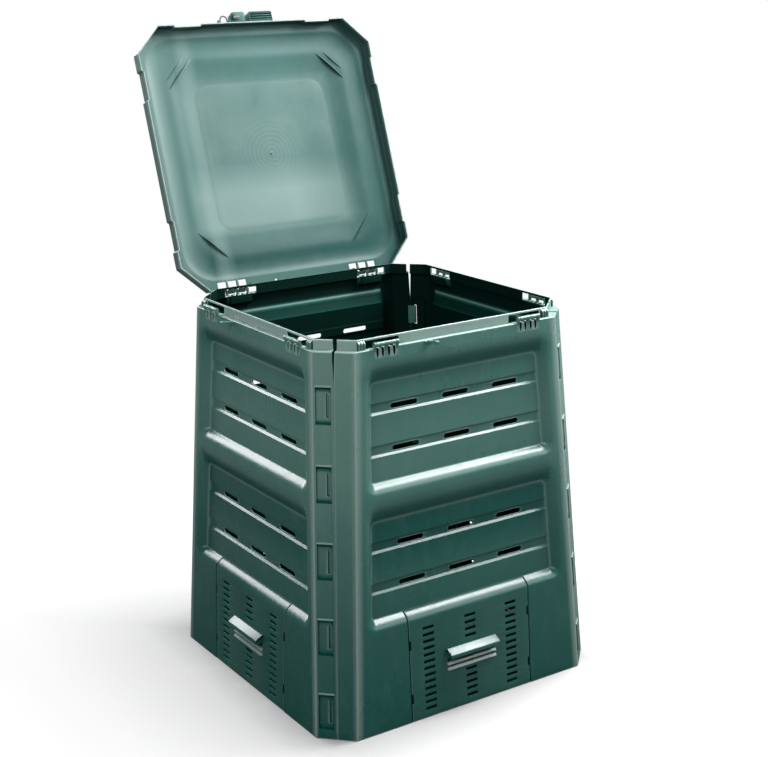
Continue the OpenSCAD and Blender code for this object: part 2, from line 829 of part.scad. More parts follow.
// Half-moon cam under the housing, fixed to the shaft
module cam_shape() {
    opened()
        translate([-knob_offset, knob_y, grip_low - rest_gap - cam_height])
            difference() {
                cylinder(h = cam_height, r = cam_radius);
                translate([-cam_radius, cam_flat, -edge])
                    cube([2 * cam_radius, cam_radius, cam_height + 2 * edge]);
                translate([-5.5, -1, -edge])
                    cube([11, 2, 1.2 + edge]);
                for (side = [-1, 1])
                    translate([side * 6, 0, -edge])
                        cylinder(h = 1.2 + edge, r = 1.8);
            }
}

// Wire bail: a U of round wire with its ends turned out into the two ears
module bail_shape() {
    leg = bail_length - bail_arm;
    opened()
        translate([-bail_offset, bail_y, bail_z])
            union() {
                for (side = [-1, 1]) {
                    translate([side * bail_arm, 0, 0])
                        rotate([90, 0, 0])
                            cylinder(h = leg, r = wire_radius);
                    translate([side * (bail_arm + 4), 0, 0])
                        rotate([0, 90, 0])
                            cylinder(h = 8, r = wire_radius, center = true);
                    translate([side * bail_arm, 0, 0])
                        sphere(r = wire_radius);
                }
                translate([0, -leg, 0])
                    rotate([0, 0, 180])
                        rotate_extrude(angle = 180)
                            translate([bail_arm, 0])
                                circle(r = wire_radius);
            }
}

module wall_front() { color("#4f7263") wall_shape(); }
module wall_left() { color("#4f7263") rotate([0, 0, -90]) wall_shape(); }
module wall_right() { color("#4f7263") rotate([0, 0, 90]) wall_shape(); }
module wall_back() { color("#4f7263") rotate([0, 0, 180]) wall_shape(); }
module door_front() { color("#2c5a4e") door_shape(); }
module door_left() { color("#2c5a4e") rotate([0, 0, -90]) door_shape(); }
module door_right() { color("#2c5a4e") rotate([0, 0, 90]) door_shape(); }
module door_back() { color("#2c5a4e") rotate([0, 0, 180]) door_shape(); }
module lid() { color("#5f8a7d") lid_shape(); }
module lid_grip() { color("#2f6457") grip_shape(); }
module latch_knob() { color("#245045") knob_shape(); }
module latch_cam() { color("#245045") cam_shape(); }
module latch_bail() { color("#4a4d4c") bail_shape(); }

wall_front();
wall_left();
wall_right();
wall_back();
door_front();
door_left();
door_right();
door_back();
lid();
lid_grip();
latch_knob();
latch_cam();
latch_bail();
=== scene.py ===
import math

import bmesh
import bpy
import numpy as np
from mathutils import Matrix, Vector


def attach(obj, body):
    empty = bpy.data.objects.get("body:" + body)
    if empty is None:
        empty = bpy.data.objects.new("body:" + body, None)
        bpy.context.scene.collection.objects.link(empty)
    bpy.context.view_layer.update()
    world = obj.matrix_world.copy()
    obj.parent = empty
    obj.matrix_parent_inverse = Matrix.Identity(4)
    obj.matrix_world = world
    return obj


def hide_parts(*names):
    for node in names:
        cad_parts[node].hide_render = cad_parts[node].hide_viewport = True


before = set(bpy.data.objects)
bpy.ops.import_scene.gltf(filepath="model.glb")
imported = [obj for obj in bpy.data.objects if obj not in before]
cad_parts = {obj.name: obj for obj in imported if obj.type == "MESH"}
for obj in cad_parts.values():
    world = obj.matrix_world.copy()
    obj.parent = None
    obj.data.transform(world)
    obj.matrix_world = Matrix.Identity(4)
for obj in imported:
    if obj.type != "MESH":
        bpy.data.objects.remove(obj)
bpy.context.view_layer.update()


# Moulded walls
# Four like panels of injection-moulded polyethylene, each with two recessed fields of
# planks with vent slots. A panel turns in to a ledge at its top and stands up again as
# a lip, and the pockets on its right corner face take the hooks of the next panel.

base_half = 400.0
rim_half = 351.0
ledge_height = 908.0
rim_height = 931.0
lip_inset = 13.0
corner_leg = 70.0
corner_round = 6.0
wall_skin = 3.5
lean = (base_half - rim_half) / ledge_height
lean_cos = math.cos(math.atan(lean))
lean_sin = math.sin(math.atan(lean))

field_depth = 20.0
field_height = 233.0
field_feet = (274.0, 597.0)
band_half = 13.5
slot_rows = (72.0, 170.0)
slot_pitch = 143.0
slot_straight = 31.0
slot_radius = 6.0

door_edge = 178.5
door_top = 260.0
door_seat_top = 275.3
turn_low = 873.0

pocket_pitch = 180.0
pocket_height = 85.0
pocket_tops = [828.0 - pocket_pitch * i for i in range(5)]
ridge_rise = 2.5

station_out = 200.0
window_ends = (-48.0, 43.0)
window_top = 926.0
taper_places = (-22, -8, 8, 22)
taper_low = 886.0
taper_foot = (-1.5, 0.5)
taper_half = 3.3


def smooth_min(a, b, blend):
    """The lesser of two levels, with the corner where they meet rounded off."""
    mix = np.clip(0.5 + 0.5 * (b - a) / blend, 0, 1)
    return b * (1 - mix) + a * mix - blend * mix * (1 - mix)


def floor_half(up):
    """Half the width of a field's floor at a distance up the face."""
    return base_half - lean * up - corner_leg - 52


def field_level(x, up, foot):
    """How deep the slopes round a field would go on at a point of the face."""
    middle = foot + field_height / 2
    upper = up > middle
    bend = np.where(upper, 14.0, 8.0)
    side_run = 17.0
    end_run = np.where(upper, 35.0, 15.0)
    across = np.abs(x) - (floor_half(up) - bend)
    along = np.abs(up - middle) - (field_height / 2 - bend)
    out_x, out_up = np.maximum(across, 0), np.maximum(along, 0)
    far = np.hypot(out_x, out_up)
    share = np.where(far > 1e-6, (out_up / np.maximum(far, 1e-6)) ** 2, along > across)
    run = np.sqrt(side_run ** 2 * (1 - share) + end_run ** 2 * share)
    return field_depth * (1 - (far + np.minimum(np.maximum(across, along), 0) - bend) / run)


def face_depth(x, up):
    """Depth of the moulded face: two soft fields, each with a deeper band along its slots,
    which slopes in from below and ends in a step under the plank above."""
    depth = np.zeros(np.broadcast(x, up).shape)
    for foot in field_feet:
        floor = np.full(depth.shape, field_depth)
        for row in slot_rows:
            low, high = foot + row - band_half, foot + row + band_half
            floor = floor + 5 * np.minimum(np.clip((up - low) / 5, 0, 1),
                                           np.clip((high + 0.4 - up) / 0.7, 0, 1))
        level = smooth_min(floor, field_level(x, up, foot), 1.6)
        depth = np.maximum(depth, -smooth_min(-level, 0 * level, 13.0))
    return depth


def field_rows():
    """Distances up the face at which the mesh needs a row, for the slopes, the bands and
    the slots of the fields."""
    rows = []
    for foot in field_feet:
        rows += [foot + d for d in (-34, -28, -24, -21, -18.5, -16, -14, -12, -10, -8, -6, -4,
                                    -2.5, -1.2, 0, 1.2, 3, 6, 12, 30)]
        for row in slot_rows:
            rows += [foot + row + d for d in (
                -20, -15, -13.5, -12.4, -11, -9.6, -8.5, -7.2, -6, -5, -3, 0, 3, 5, 6, 7.2,
                8.6, 12.6, 13.2, 13.9, 15, 20)]
        rows += [foot + field_height + d for d in (
            -14, -7, -3, -1.2, 0, 1.5, 4, 8, 12, 17, 22, 27, 31, 35, 39, 44, 50, 57)]
    return rows


def wall_rows():
    """Heights of the mesh's rows up the face, over the ledge and up the lip, and how far
    each row stands back from the face."""
    heights = [0, 3, 20, 60, 110, 160, 205, 228, 872, 878, 884, 886, 888, 891, 896, 901, 904]
    heights += [up * lean_cos for up in field_rows() + [door_top]]
    for top in pocket_tops:
        heights += [top + d for d in (-85, -84.4, -80, -70.4, -69.8, -15.2, -14.6, -4, -0.6, 0,
                                      0.8, ridge_rise, 4.2, 5)]
    kept = [0.0]
    for height in sorted(heights):
        if height - kept[-1] > 0.35:
            kept.append(height)
    lip_rise = rim_height - ledge_height
    ledge = [(-2.5, 0), (-1.1, 0.25), (-0.3, 0.9), (0, 2.2), (0, 7), (0, 12), (0, lip_inset)]
    lip = [(2, 0), (6, 0), (12, 0), (17.4, 0), (window_top - ledge_height, 0), (20.5, 0),
           (lip_rise - 0.8, 0.1), (lip_rise, 0.7)]
    rows = ([(height, 0) for height in kept]
            + [(ledge_height + rise, back) for rise, back in ledge]
            + [(ledge_height + rise, lip_inset + back) for rise, back in lip])
    return np.array(rows, float).T


row_height, row_inset = wall_rows()
row_half = np.maximum(base_half - lean * row_height, rim_half) - row_inset
row_up = row_height / lean_cos
on_slope = (row_height < 880)[:, None]
seam_gap = np.interp(row_height, [0, 8, 835, 906, 907.95, 908.05, 931],
                     [2, 0.3, 0.3, 3, 3, 4.5, 5])

# Columns of the mesh: by their distance from the middle of the face, from the sides of the
# fields, and from the seam at the corner. Shares run over what is left of a corner face.
corner_shares = (0, 0.1, 0.2, 0.35, 0.55, 0.8)
corner_angles = (45, 33, 22.5, 12)
face_places = [0, 10, 21, 31, 32.2, 40, 58, 78, 96, 110.8, 112, 122, 133, 143, 153, 164, 174,
               175.2, 182.8, 188, 200]
slot_bulge = {31: 1, 32.2: 1, 110.8: -1, 112: -1, 174: 1, 175.2: 1}
door_columns = {182.8: door_edge, 188: door_edge + 0.05}
edge_places = [-26, -18, -12, -8, -5, -2.5, -1, 0, 1.5, 4, 7, 10, 13, 16, 19, 22, 26, 33]
pocket_places = np.array([43, 42, 41.4, 36, 30, 24, 18.5, 15.2, 12, 9, 6.6, 6])
in_pocket = (pocket_places > 6) & (pocket_places < 42)
on_ridge = pocket_places <= 42
seam_shares = (0.35, 0.7, 1.0)

first_face = len(corner_shares) + len(corner_angles)
after_face = first_face + 2 * (len(face_places) + len(edge_places)) - 1
first_pocket = after_face + len(corner_angles)
after_pocket = first_pocket + len(pocket_places)
wall_grid = (len(row_height), after_pocket + len(seam_shares))


def taper_columns(offset, left, right):
    """An edge, the middle and the other edge of a tapering slot, which widens upwards."""
    widening = np.clip((row_height - taper_low) / 10, 0, 1)
    middle = station_out + offset
    return [middle + left * (1 - widening) - taper_half * widening, middle,
            middle + right * (1 - widening) + taper_half * widening]


def ledge_columns(side):
    """Where the columns of one half stand on the ledge and the lip. Among them are the
    ends of the window and the edges of the tapering slots at the hinge station."""
    near, far = sorted(station_out + side * end for end in window_ends)
    left, right = sorted(side * end for end in taper_foot)
    tapers = [taper_columns(offset, left, right) for offset in taper_places]
    return ([0, 10, 21, 31, 40, 55, 66, 80, 92, 104, 114, 124, 134, 143, near - 3, near, 164]
            + tapers[0] + tapers[1] + [station_out] + tapers[2] + tapers[3]
            + [234, far] + list(np.linspace(far + 2, 262, 7)))


def face_columns():
    """X of every column of the face at every row. Some bulge round the ends of the slots,
    and two keep to the edge of the door."""
    bulge = np.zeros(row_up.shape)
    for foot in field_feet:
        for row in slot_rows:
            away = np.abs(row_up - foot - row)
            bulge = np.maximum(bulge, np.sqrt(np.maximum(slot_radius ** 2 - away ** 2, 0)))
    low_columns = []
    for place in face_places:
        column = place + slot_bulge.get(place, 0) * bulge
        if place in door_columns:
            column = np.where(row_up < door_seat_top + 10, door_columns[place], place)
        low_columns.append(column)
    low_columns += [floor_half(row_up) + out for out in edge_places]
    over = np.clip((row_height - turn_low) / 10, 0, 1)
    left, right = ([side * (low * (1 - over) + high * over)
                    for low, high in zip(low_columns, ledge_columns(side))]
                   for side in (-1, 1))
    return np.array(left[:0:-1] + right).T


def corner_face(side, from_seam):
    """A column on the corner face, and the direction into the bin there."""
    out = row_half - corner_leg / 2
    run = np.broadcast_to(from_seam, row_height.shape) * math.sqrt(0.5)
    return (np.stack([side * (out - run), -out - run, row_height], 1),
            [-side * math.sqrt(0.5), math.sqrt(0.5), 0])


def corner_bend(side, angle):
    """A column on the rounded edge between the face and the corner face."""
    turn = math.radians(angle)
    tangent = corner_round * math.tan(math.radians(22.5))
    x = side * (row_half - corner_leg - tangent + corner_round * math.sin(turn))
    y = -row_half + corner_round - corner_round * math.cos(turn)
    return np.stack([x, y, row_height], 1), [-side * math.sin(turn), math.cos(turn), 0]


def plain_wall(face_x):
    """Points of the wall before anything is moulded into it, and the direction in which
    their depth counts."""
    bend_start = corner_leg * math.sqrt(0.5) - corner_round * math.tan(math.radians(22.5))
    last = pocket_places[-1]
    columns = [corner_face(-1, seam_gap + (bend_start - seam_gap) * share)
               for share in corner_shares]
    columns += [corner_bend(-1, angle) for angle in corner_angles]
    columns += [(np.stack([x, -row_half, row_height], 1), [0, 1, 0]) for x in face_x.T]
    columns += [corner_bend(1, angle) for angle in reversed(corner_angles)]
    columns += [corner_face(1, place) for place in pocket_places]
    columns += [corner_face(1, last + (seam_gap - last) * share) for share in seam_shares]
    points = np.stack([spots for spots, way in columns], 1)
    inward = np.stack([np.broadcast_to(way, spots.shape) for spots, way in columns], 1)
    return points, inward


def wall_depth(face_x):
    """How deep each point is moulded in: the fields, the seat of the door, the pockets with
    their arched ridges, and a groove from one pocket to the next."""
    depth = np.zeros(wall_grid)
    face = depth[:, first_face:after_face]
    face[:] = np.where(on_slope, face_depth(face_x, row_up[:, None]), 0)
    behind_door = np.abs(face_x) <= door_edge + 0.01
    face[behind_door & (row_up < door_seat_top)[:, None]] = field_depth
    pockets = depth[:, first_pocket:after_pocket]
    hollow = np.interp(pocket_places[in_pocket], [6.6, 9, 12, 15, 18.5, 24, 30, 36],
                       [3.2, 1.4, 3.4, 6, 6, 5.2, 5.2, 6])
    for top in pocket_tops:
        rise = row_height - top
        pockets[np.ix_((rise > 0.1 - pocket_height) & (rise < -0.1), in_pocket)] = hollow
        for level, out in ((0.8, 2.6), (ridge_rise, 3.2), (4.2, 1.5)):
            pockets[np.ix_(np.abs(rise - level) < 0.4, on_ridge)] = -out
        between = (rise > 8 - pocket_pitch) & (rise < -pocket_height - 1)
        pockets[np.ix_(between, pocket_places == 6.6)] = 1.3
    return depth


def wall_keep(face_x):
    """Which cells of the mesh are there: all but the door, the vent slots, the windows
    through the lip, the tapering slots under them and the slots of the pockets."""
    keep = np.ones((wall_grid[0] - 1, wall_grid[1] - 1), bool)
    face = keep[:, first_face:after_face - 1]
    up = (row_up[1:] + row_up[:-1])[:, None] / 2
    inset = (row_inset[1:] + row_inset[:-1])[:, None] / 2
    x = (face_x[:, 1:] + face_x[:, :-1]) / 2
    x = (x[1:] + x[:-1]) / 2
    face &= ~((up < door_top) & (np.abs(x) < door_edge))
    for foot in field_feet:
        for row in slot_rows:
            level = np.abs(up - foot - row) < slot_radius
            for centre in (-slot_pitch, 0, slot_pitch):
                near = np.abs(x - centre) < slot_straight + slot_radius / 2
                face &= ~(level & near)
    in_window = (inset > lip_inset - 0.1) & (row_height[1:, None] < window_top + 0.2)
    in_taper = (inset < lip_inset - 0.05) & (row_height[:-1, None] > taper_low - 0.1)
    for middle in (-station_out, station_out):
        beside = x - middle
        face &= ~(in_window & (beside > window_ends[0]) & (beside < window_ends[1]))
        for offset in taper_places:
            face &= ~(in_taper & (np.abs(beside - offset) < taper_half + 0.1))
    pockets = keep[:, first_pocket:after_pocket - 1]
    height = (row_height[1:] + row_height[:-1]) / 2
    place = (pocket_places[1:] + pocket_places[:-1]) / 2
    for top in pocket_tops:
        level = (height > top - 70) & (height < top - 15)
        pockets[np.ix_(level, (place > 12) & (place < 18.5))] = False
    return keep


def hole_rims(keep):
    """The grid points that lie on the edge of a hole or of the sheet."""
    pad = np.pad(keep, 1)
    around = [pad[:-1, :-1], pad[:-1, 1:], pad[1:, :-1], pad[1:, 1:]]
    count = sum(cells.astype(int) for cells in around)
    return (count > 0) & (count < 4)


def rim_relief(rims):
    """A raised bead round each vent slot, and a slight fall at every other edge."""
    grown = rims.copy()
    grown[1:] |= rims[:-1]
    grown[:-1] |= rims[1:]
    grown[:, 1:] |= rims[:, :-1]
    grown[:, :-1] |= rims[:, 1:]
    vents = np.zeros(rims.shape, bool)
    for foot in field_feet:
        for row in slot_rows:
            vents[np.abs(row_up - foot - row) < slot_radius + 1.5, first_face:after_face] = True
    return 0.4 * (rims & ~vents) - 0.7 * (vents & grown & ~rims) - 0.1 * (vents & rims)


def field_top_marks(face_x, steps, levels):
    """A mark along the slope over each field, by the distance up from its top."""
    within = np.abs(face_x) < floor_half(row_up)[:, None] + 9
    return [np.interp(row_up - foot - field_height, steps, levels)[:, None] * within
            for foot in field_feet]


def wall_marks(face_x, rims):
    """Painted light on the outer side: painted shade on the slopes over the fields and in the
    ends of the pockets, and painted highlights along creases, corners, ledge, lip and rims."""
    stained, worn = np.zeros(wall_grid), np.zeros(wall_grid)
    face = worn[:, first_face:after_face]
    # Painted shade on the slope over each field.
    shades = field_top_marks(face_x, [-2, 2, 24, 38], [0, 0.3, 0.26, 0])
    stained[:, first_face:after_face] = np.maximum(*shades)
    for foot in field_feet:
        # Painted highlight along the creases round the fields.
        crease = (field_level(face_x, row_up[:, None], foot) - field_depth) / 2.2
        face[:] = np.maximum(face, 0.22 * np.exp(-crease ** 2))
    face *= on_slope
    # Painted highlight on the corner faces, paler towards the top.
    pale_highlight = np.interp(row_height, [150, 650], [0.02, 0.12])[:, None]
    bend_highlight = [0.25, 0.5, 0.6, 0.4]
    worn[:, :len(corner_shares)] = pale_highlight
    worn[:, len(corner_shares):first_face] = bend_highlight
    worn[:, after_face:first_pocket] = bend_highlight[::-1]
    worn[:, first_pocket:] = pale_highlight
    # Painted highlights on the ledge, the lip and the top edge of the rim.
    worn[(row_height > ledge_height - 1.5) & (row_inset < lip_inset - 0.5)] = 0.4
    worn[row_height > ledge_height + 1] = 0.45
    worn[row_height > rim_height - 3] = 0.7
    pocket_shade = stained[:, first_pocket:after_pocket]
    pocket_highlight = worn[:, first_pocket:after_pocket]
    # Painted shade in the ends of each pocket, and a painted highlight on its ridge.
    for top in pocket_tops:
        dim = np.interp(row_height - top, [-85, -84.4, -80, -74, -12, -4, -0.5, 0],
                        [0, 0.7, 0.6, 0, 0, 0.8, 0.8, 0])
        pocket_shade[:] = np.maximum(pocket_shade, dim[:, None] * in_pocket)
        pocket_highlight[np.ix_(np.abs(row_height - top - ridge_rise) < 2.1, on_ridge)] = 0.5
    # Painted highlight round the edge of every hole.
    return stained, np.maximum(worn, 0.32 * rims)


def sheet(front, back, keep, closed=False):
    """Vertices and faces of a wall between two grids of points, with the cells that are
    not kept as holes. A closed sheet joins its last column to its first."""
    rows, columns = front.shape[:2]
    index = np.arange(rows * columns).reshape(rows, columns)
    if closed:
        index = np.hstack([index, index[:, :1]])
    behind = index + rows * columns
    a, b = index[:-1, :-1], index[:-1, 1:]
    c, d = index[1:, 1:], index[1:, :-1]
    e, f = behind[:-1, :-1], behind[:-1, 1:]
    g, h = behind[1:, 1:], behind[1:, :-1]
    pad = np.pad(keep, 1)
    if closed:
        pad[1:-1, 0], pad[1:-1, -1] = keep[:, -1], keep[:, 0]
    quads = [np.stack([q[keep] for q in (a, b, c, d)], 1),
             np.stack([q[keep] for q in (e, h, g, f)], 1)]
    for gone, corners in ((~pad[:-2, 1:-1], (b, a, e, f)), (~pad[1:-1, 2:], (c, b, f, g)),
                          (~pad[2:, 1:-1], (d, c, g, h)), (~pad[1:-1, :-2], (a, d, h, e))):
        rim = keep & gone
        quads.append(np.stack([q[rim] for q in corners], 1))
    faces = np.concatenate(quads)
    used, fresh = np.unique(faces, return_inverse=True)
    points = np.concatenate([front.reshape(-1, 3), back.reshape(-1, 3)])[used]
    return points, fresh.reshape(-1, 4), used


def sheet_marks(used, stained, worn, painted_lit=0.0):
    """The marks of both sides of a sheet. Its inner side is painted dark as shade, but for where
    it is marked lit, which gets a painted highlight instead."""
    # Inner side: painted shade all over, and a painted highlight where it is marked lit.
    inside = np.broadcast_to(painted_lit, stained.shape).ravel()
    return {"stained": np.concatenate([stained.ravel(), 1 - inside])[used],
            "worn": np.concatenate([worn.ravel(), 0.55 * inside])[used]}


def wall_panel():
    """The front wall: its outer side, and an inner side one skin further in and, under the
    ledge, one skin down. The inner side is painted dark as shade, but for the inner shelf over
    the upper field, which gets a painted highlight."""
    face_x = face_columns()
    plain, inward = plain_wall(face_x)
    depth = wall_depth(face_x)
    keep = wall_keep(face_x)
    rims = hole_rims(keep)
    shown = depth + rim_relief(rims)
    outer = plain + inward * (shown * lean_cos)[..., None]
    outer[..., 2] -= shown * lean_sin
    drop = np.interp(row_height, [885, 907, 908], [0, 2.5, wall_skin])
    drop *= row_inset < lip_inset - 0.5
    drop[np.argmax(row_inset >= lip_inset)] = wall_skin
    inner = plain + inward * (depth * lean_cos + wall_skin)[..., None]
    inner[..., 2] -= drop[:, None] + depth * lean_sin
    for side in (outer, inner):
        side[..., 2] = np.maximum(side[..., 2], 0)
    points, faces, used = sheet(outer, inner, keep)
    # Painted highlight on the inner shelf over the upper field, in place of the painted shade.
    painted_lit = np.zeros(wall_grid)
    painted_lit[:, first_face:after_face] = field_top_marks(
        face_x, [-1.2, 0, 1.5, 4, 22, 27, 31, 35, 39],
        [0, 0.3, 0.2, 0.12, 0.12, 0.45, 0.9, 0.3, 0])[-1]
    return points, faces, sheet_marks(used, *wall_marks(face_x, rims), painted_lit)


class Maths:
    """A value in a tree of nodes. Sums on it add Math nodes."""

    def __init__(self, nodes, socket):
        self.nodes, self.socket = nodes, socket

    def op(self, operation, *others):
        return self.nodes.node("ShaderNodeMath", dict(enumerate((self,) + others)),
                               operation=operation)

    def __add__(self, other):
        return self.op("ADD", other)

    def __sub__(self, other):
        return self.op("SUBTRACT", other)

    def __rsub__(self, other):
        return self.nodes.node("ShaderNodeMath", {0: other, 1: self}, operation="SUBTRACT")

    def __mul__(self, other):
        return self.op("MULTIPLY", other)

    def __truediv__(self, other):
        return self.op("DIVIDE", other)

    def __pow__(self, other):
        return self.op("POWER", other)

    __radd__ = __add__
    __rmul__ = __mul__


class Nodes:
    """A tree of nodes. One method adds any node to it."""

    def __init__(self, tree):
        self.tree = tree

    def node(self, kind, values=None, out=0, **settings):
        """A new node with its settings, then the values or links of its sockets. It gives
        back one of its outputs."""
        made = self.tree.nodes.new(kind)
        for key, value in settings.items():
            if key == "stops":
                ramp = made.color_ramp
                while len(ramp.elements) < len(value):
                    ramp.elements.new(0.5)
                for stop, (place, colour) in zip(ramp.elements, value):
                    stop.position, stop.color = place, colour
            else:
                setattr(made, key, value)
        for key, value in (values or {}).items():
            self.plug(value, made.inputs[key])
        return Maths(self, made.outputs[out])

    def plug(self, value, socket):
        if isinstance(value, Maths):
            self.tree.links.new(value.socket, socket)
        else:
            socket.default_value = value


def grey(level):
    return (level, level, level, 1)


class Finish(Nodes):
    """A material, made node by node."""

    def __init__(self, name):
        self.material = bpy.data.materials.new(name)
        self.material.use_nodes = True
        super().__init__(self.material.node_tree)
        self.shader = self.tree.nodes["Principled BSDF"]
        self.surface = Maths(self, self.shader.outputs[0])

    def set(self, **values):
        for key, value in values.items():
            self.plug(value, self.shader.inputs[key.replace("_", " ").title()])

    def show(self, surface):
        self.plug(surface, self.tree.nodes["Material Output"].inputs[0])

    def place(self, stretch=(1, 1, 1)):
        spot = self.node("ShaderNodeTexCoord", out="Object")
        return self.node("ShaderNodeMapping", {0: spot, 3: stretch})

    def axes(self):
        spot = self.place()
        return [self.node("ShaderNodeSeparateXYZ", {0: spot}, out=axis) for axis in range(3)]

    def mark(self, name):
        return self.node("ShaderNodeAttribute", out="Fac", attribute_name=name)

    def noise(self, scale, detail, rough, stretch=(1, 1, 1)):
        return self.node("ShaderNodeTexNoise", {"Vector": self.place(stretch), "Scale": scale,
                                                "Detail": detail, "Roughness": rough})

    def ramp(self, value, *stops):
        return self.node("ShaderNodeValToRGB", {0: value},
                         stops=[(place, grey(level)) for place, level in stops])

    def blend(self, share, first, second):
        return self.node("ShaderNodeMix", {0: share, 6: first, 7: second}, out=2,
                         data_type="RGBA")

    def bump(self, height, strength, distance):
        return self.node("ShaderNodeBump", {"Height": height, "Strength": strength,
                                            "Distance": distance})


def moulded_plastic(name, tone, pale, rough, grain=1.0, shine=0.5, dressing=None):
    """Polyethylene: flow clouds, a finely textured skin and scuffs, with painted highlights on
    edges marked as lit, and painted shade, dark and dull, where points are marked as shaded,
    as on the inside. A dressing adds what one moulding alone shows."""
    pale_highlight = (0.4, 0.49, 0.455, 1)
    shade_tone, deep_shade_tone = (0.004, 0.05, 0.042, 1), (0.0, 0.016, 0.012, 1)
    matte_shade_tone, matte_deep_shade_tone = (0.004, 0.085, 0.07, 1), (0.0, 0.009, 0.0065, 1)
    made = Finish(name)
    clouds = made.ramp(made.noise(3.1, 4, 0.55), (0.32, 0), (0.72, 1))
    streaks = made.ramp(made.noise(9, 3, 0.6, (1, 1, 0.12)), (0.42, 0), (0.78, 1))
    colour = made.blend(clouds * 0.3, tone, pale)
    colour = made.blend(streaks * 0.14, colour, pale)
    if dressing:
        colour = dressing(made, colour)
    scuffs = made.ramp(made.noise(34, 3, 0.5, (1, 1, 0.45)), (0.5, 0), (0.8, 1))
    colour = made.blend(scuffs * 0.08, colour, pale)
    # Painted highlight: edges marked as lit are blended to a pale colour.
    colour = made.blend(made.mark("worn"), colour, pale_highlight)
    # Painted shade: points marked as shaded turn dark green, rougher and dull.
    shade_share = made.mark("stained")
    deep_shade_share = made.ramp(shade_share, (0.46, 0), (0.95, 1))
    colour = made.blend(shade_share * 0.9, colour, made.blend(deep_shade_share, shade_tone, deep_shade_tone))
    skin = made.noise(1500, 2, 0.5)
    ripple = made.noise(22, 1, 0.5)
    made.set(base_color=colour,
             roughness=clouds * 0.06 + scuffs * 0.06 + shade_share * 0.4 + rough,
             normal=made.bump(skin * 0.16 * grain + ripple * 0.8, 0.3, 0.0005))
    made.shader.inputs["Specular IOR Level"].default_value = shine
    matte_shade = made.node("ShaderNodeBsdfDiffuse", {
        "Color": made.blend(deep_shade_share, matte_shade_tone, matte_deep_shade_tone)})
    made.show(made.node("ShaderNodeMixShader", {0: (shade_share * 1.5).op("MINIMUM", 0.9),
                                                1: made.surface, 2: matte_shade}))
    return made.material


def wall_painted_shade(made, colour):
    """Painted shade: deeper green towards the ground and in the upper parts of the two fields."""
    shade_green = (0.001, 0.066, 0.054, 1)
    x, y, z = made.axes()
    across = x.op("ABSOLUTE").op("MINIMUM", y.op("ABSOLUTE"))
    # Painted shade, darker towards the ground; and in the fields, darker under their upper
    # slopes.
    low = made.ramp(z, (0.0, 1), (0.25, 0.86), (0.5, 0.55), (0.62, 0.22), (0.86, 0.04))
    fields = made.ramp(z, (0.262, 0.5), (0.285, 0.1), (0.34, 0.7), (0.42, 1), (0.51, 1),
                       (0.545, 0.2), (0.57, 0.05), (0.6, 0), (0.66, 0.1), (0.8, 0.35),
                       (0.845, 0.7), (0.875, 0.1))
    inside = made.ramp(across / 0.4, (0.6, 1), (0.74, 0))
    return made.blend(low.op("MAXIMUM", fields * inside), colour, shade_green)


def plain_mesh(name, points, faces):
    """A mesh in metres from points in millimetres."""
    mesh = bpy.data.meshes.new(name)
    mesh.from_pydata((np.asarray(points, float) / 1000).tolist(), [],
                     [list(map(int, face)) for face in faces])
    return mesh


def new_object(name, data):
    made = bpy.data.objects.new(name, data)
    bpy.context.scene.collection.objects.link(made)
    return made


def finish_piece(name, mesh, material, body, replaces=()):
    """Smooth shading up to the sharp edges, the material, and the piece's place in the frame."""
    sharp = math.radians(42)
    shaped = bmesh.new()
    shaped.from_mesh(mesh)
    for edge in shaped.edges:
        edge.smooth = len(edge.link_faces) == 2 and edge.calc_face_angle(0) < sharp
    for face in shaped.faces:
        face.smooth = True
        face.material_index = 0
    shaped.to_mesh(mesh)
    shaped.free()
    mesh.materials.clear()
    mesh.materials.append(material)
    made = new_object(name, mesh)
    if replaces:
        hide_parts(*replaces)
    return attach(made, body)


def piece(name, points, faces, material, body, replaces=(), marks=None):
    """A finished piece, fixed to its body, with the marks that its material reads."""
    mesh = plain_mesh(name, points, faces)
    for mark, values in (marks or {}).items():
        mesh.attributes.new(mark, "FLOAT", "POINT").data.foreach_set("value", values)
    return finish_piece(name, mesh, material, body, replaces)


turns = {"front": 0, "left": -90, "right": 90, "back": 180}


def turned(points, side):
    """From the front wall round to another."""
    angle = math.radians(turns[side])
    spin = np.array([[math.cos(angle), -math.sin(angle), 0],
                     [math.sin(angle), math.cos(angle), 0], [0, 0, 1]])
    return np.asarray(points) @ spin.T


def all_round(name, points, faces, material, body, replaces=(), marks=None):
    """The same piece on each of the four walls. SIDE in a name stands for the wall's."""
    for side in turns:
        piece(name + "_" + side, turned(points, side), faces, material,
              body.replace("SIDE", side),
              [node.replace("SIDE", side) for node in replaces], marks)


wall_plastic = moulded_plastic("wall_plastic", (0.058, 0.158, 0.132, 1),
                               (0.14, 0.25, 0.22, 1), 0.25, dressing=wall_painted_shade)
panel_points, panel_faces, panel_marks = wall_panel()
all_round("wall_panel", panel_points, panel_faces, wall_plastic, "bin",
          ["wall_SIDE"], panel_marks)


# Hinge stations and rim
# Moulded in one with each wall: two barrels between three lugs at each station, with a
# shelf under them, a ribbed block at each end of the lip, and the beak that a cord from
# the latch is tied to.

axis_out, axis_height = 352.0, 918.0
barrel_radius = 5.0
barrel_length = 30.0
shelf_foot = 876.0
shelf_half = 34.0
beak_reach = 34.0


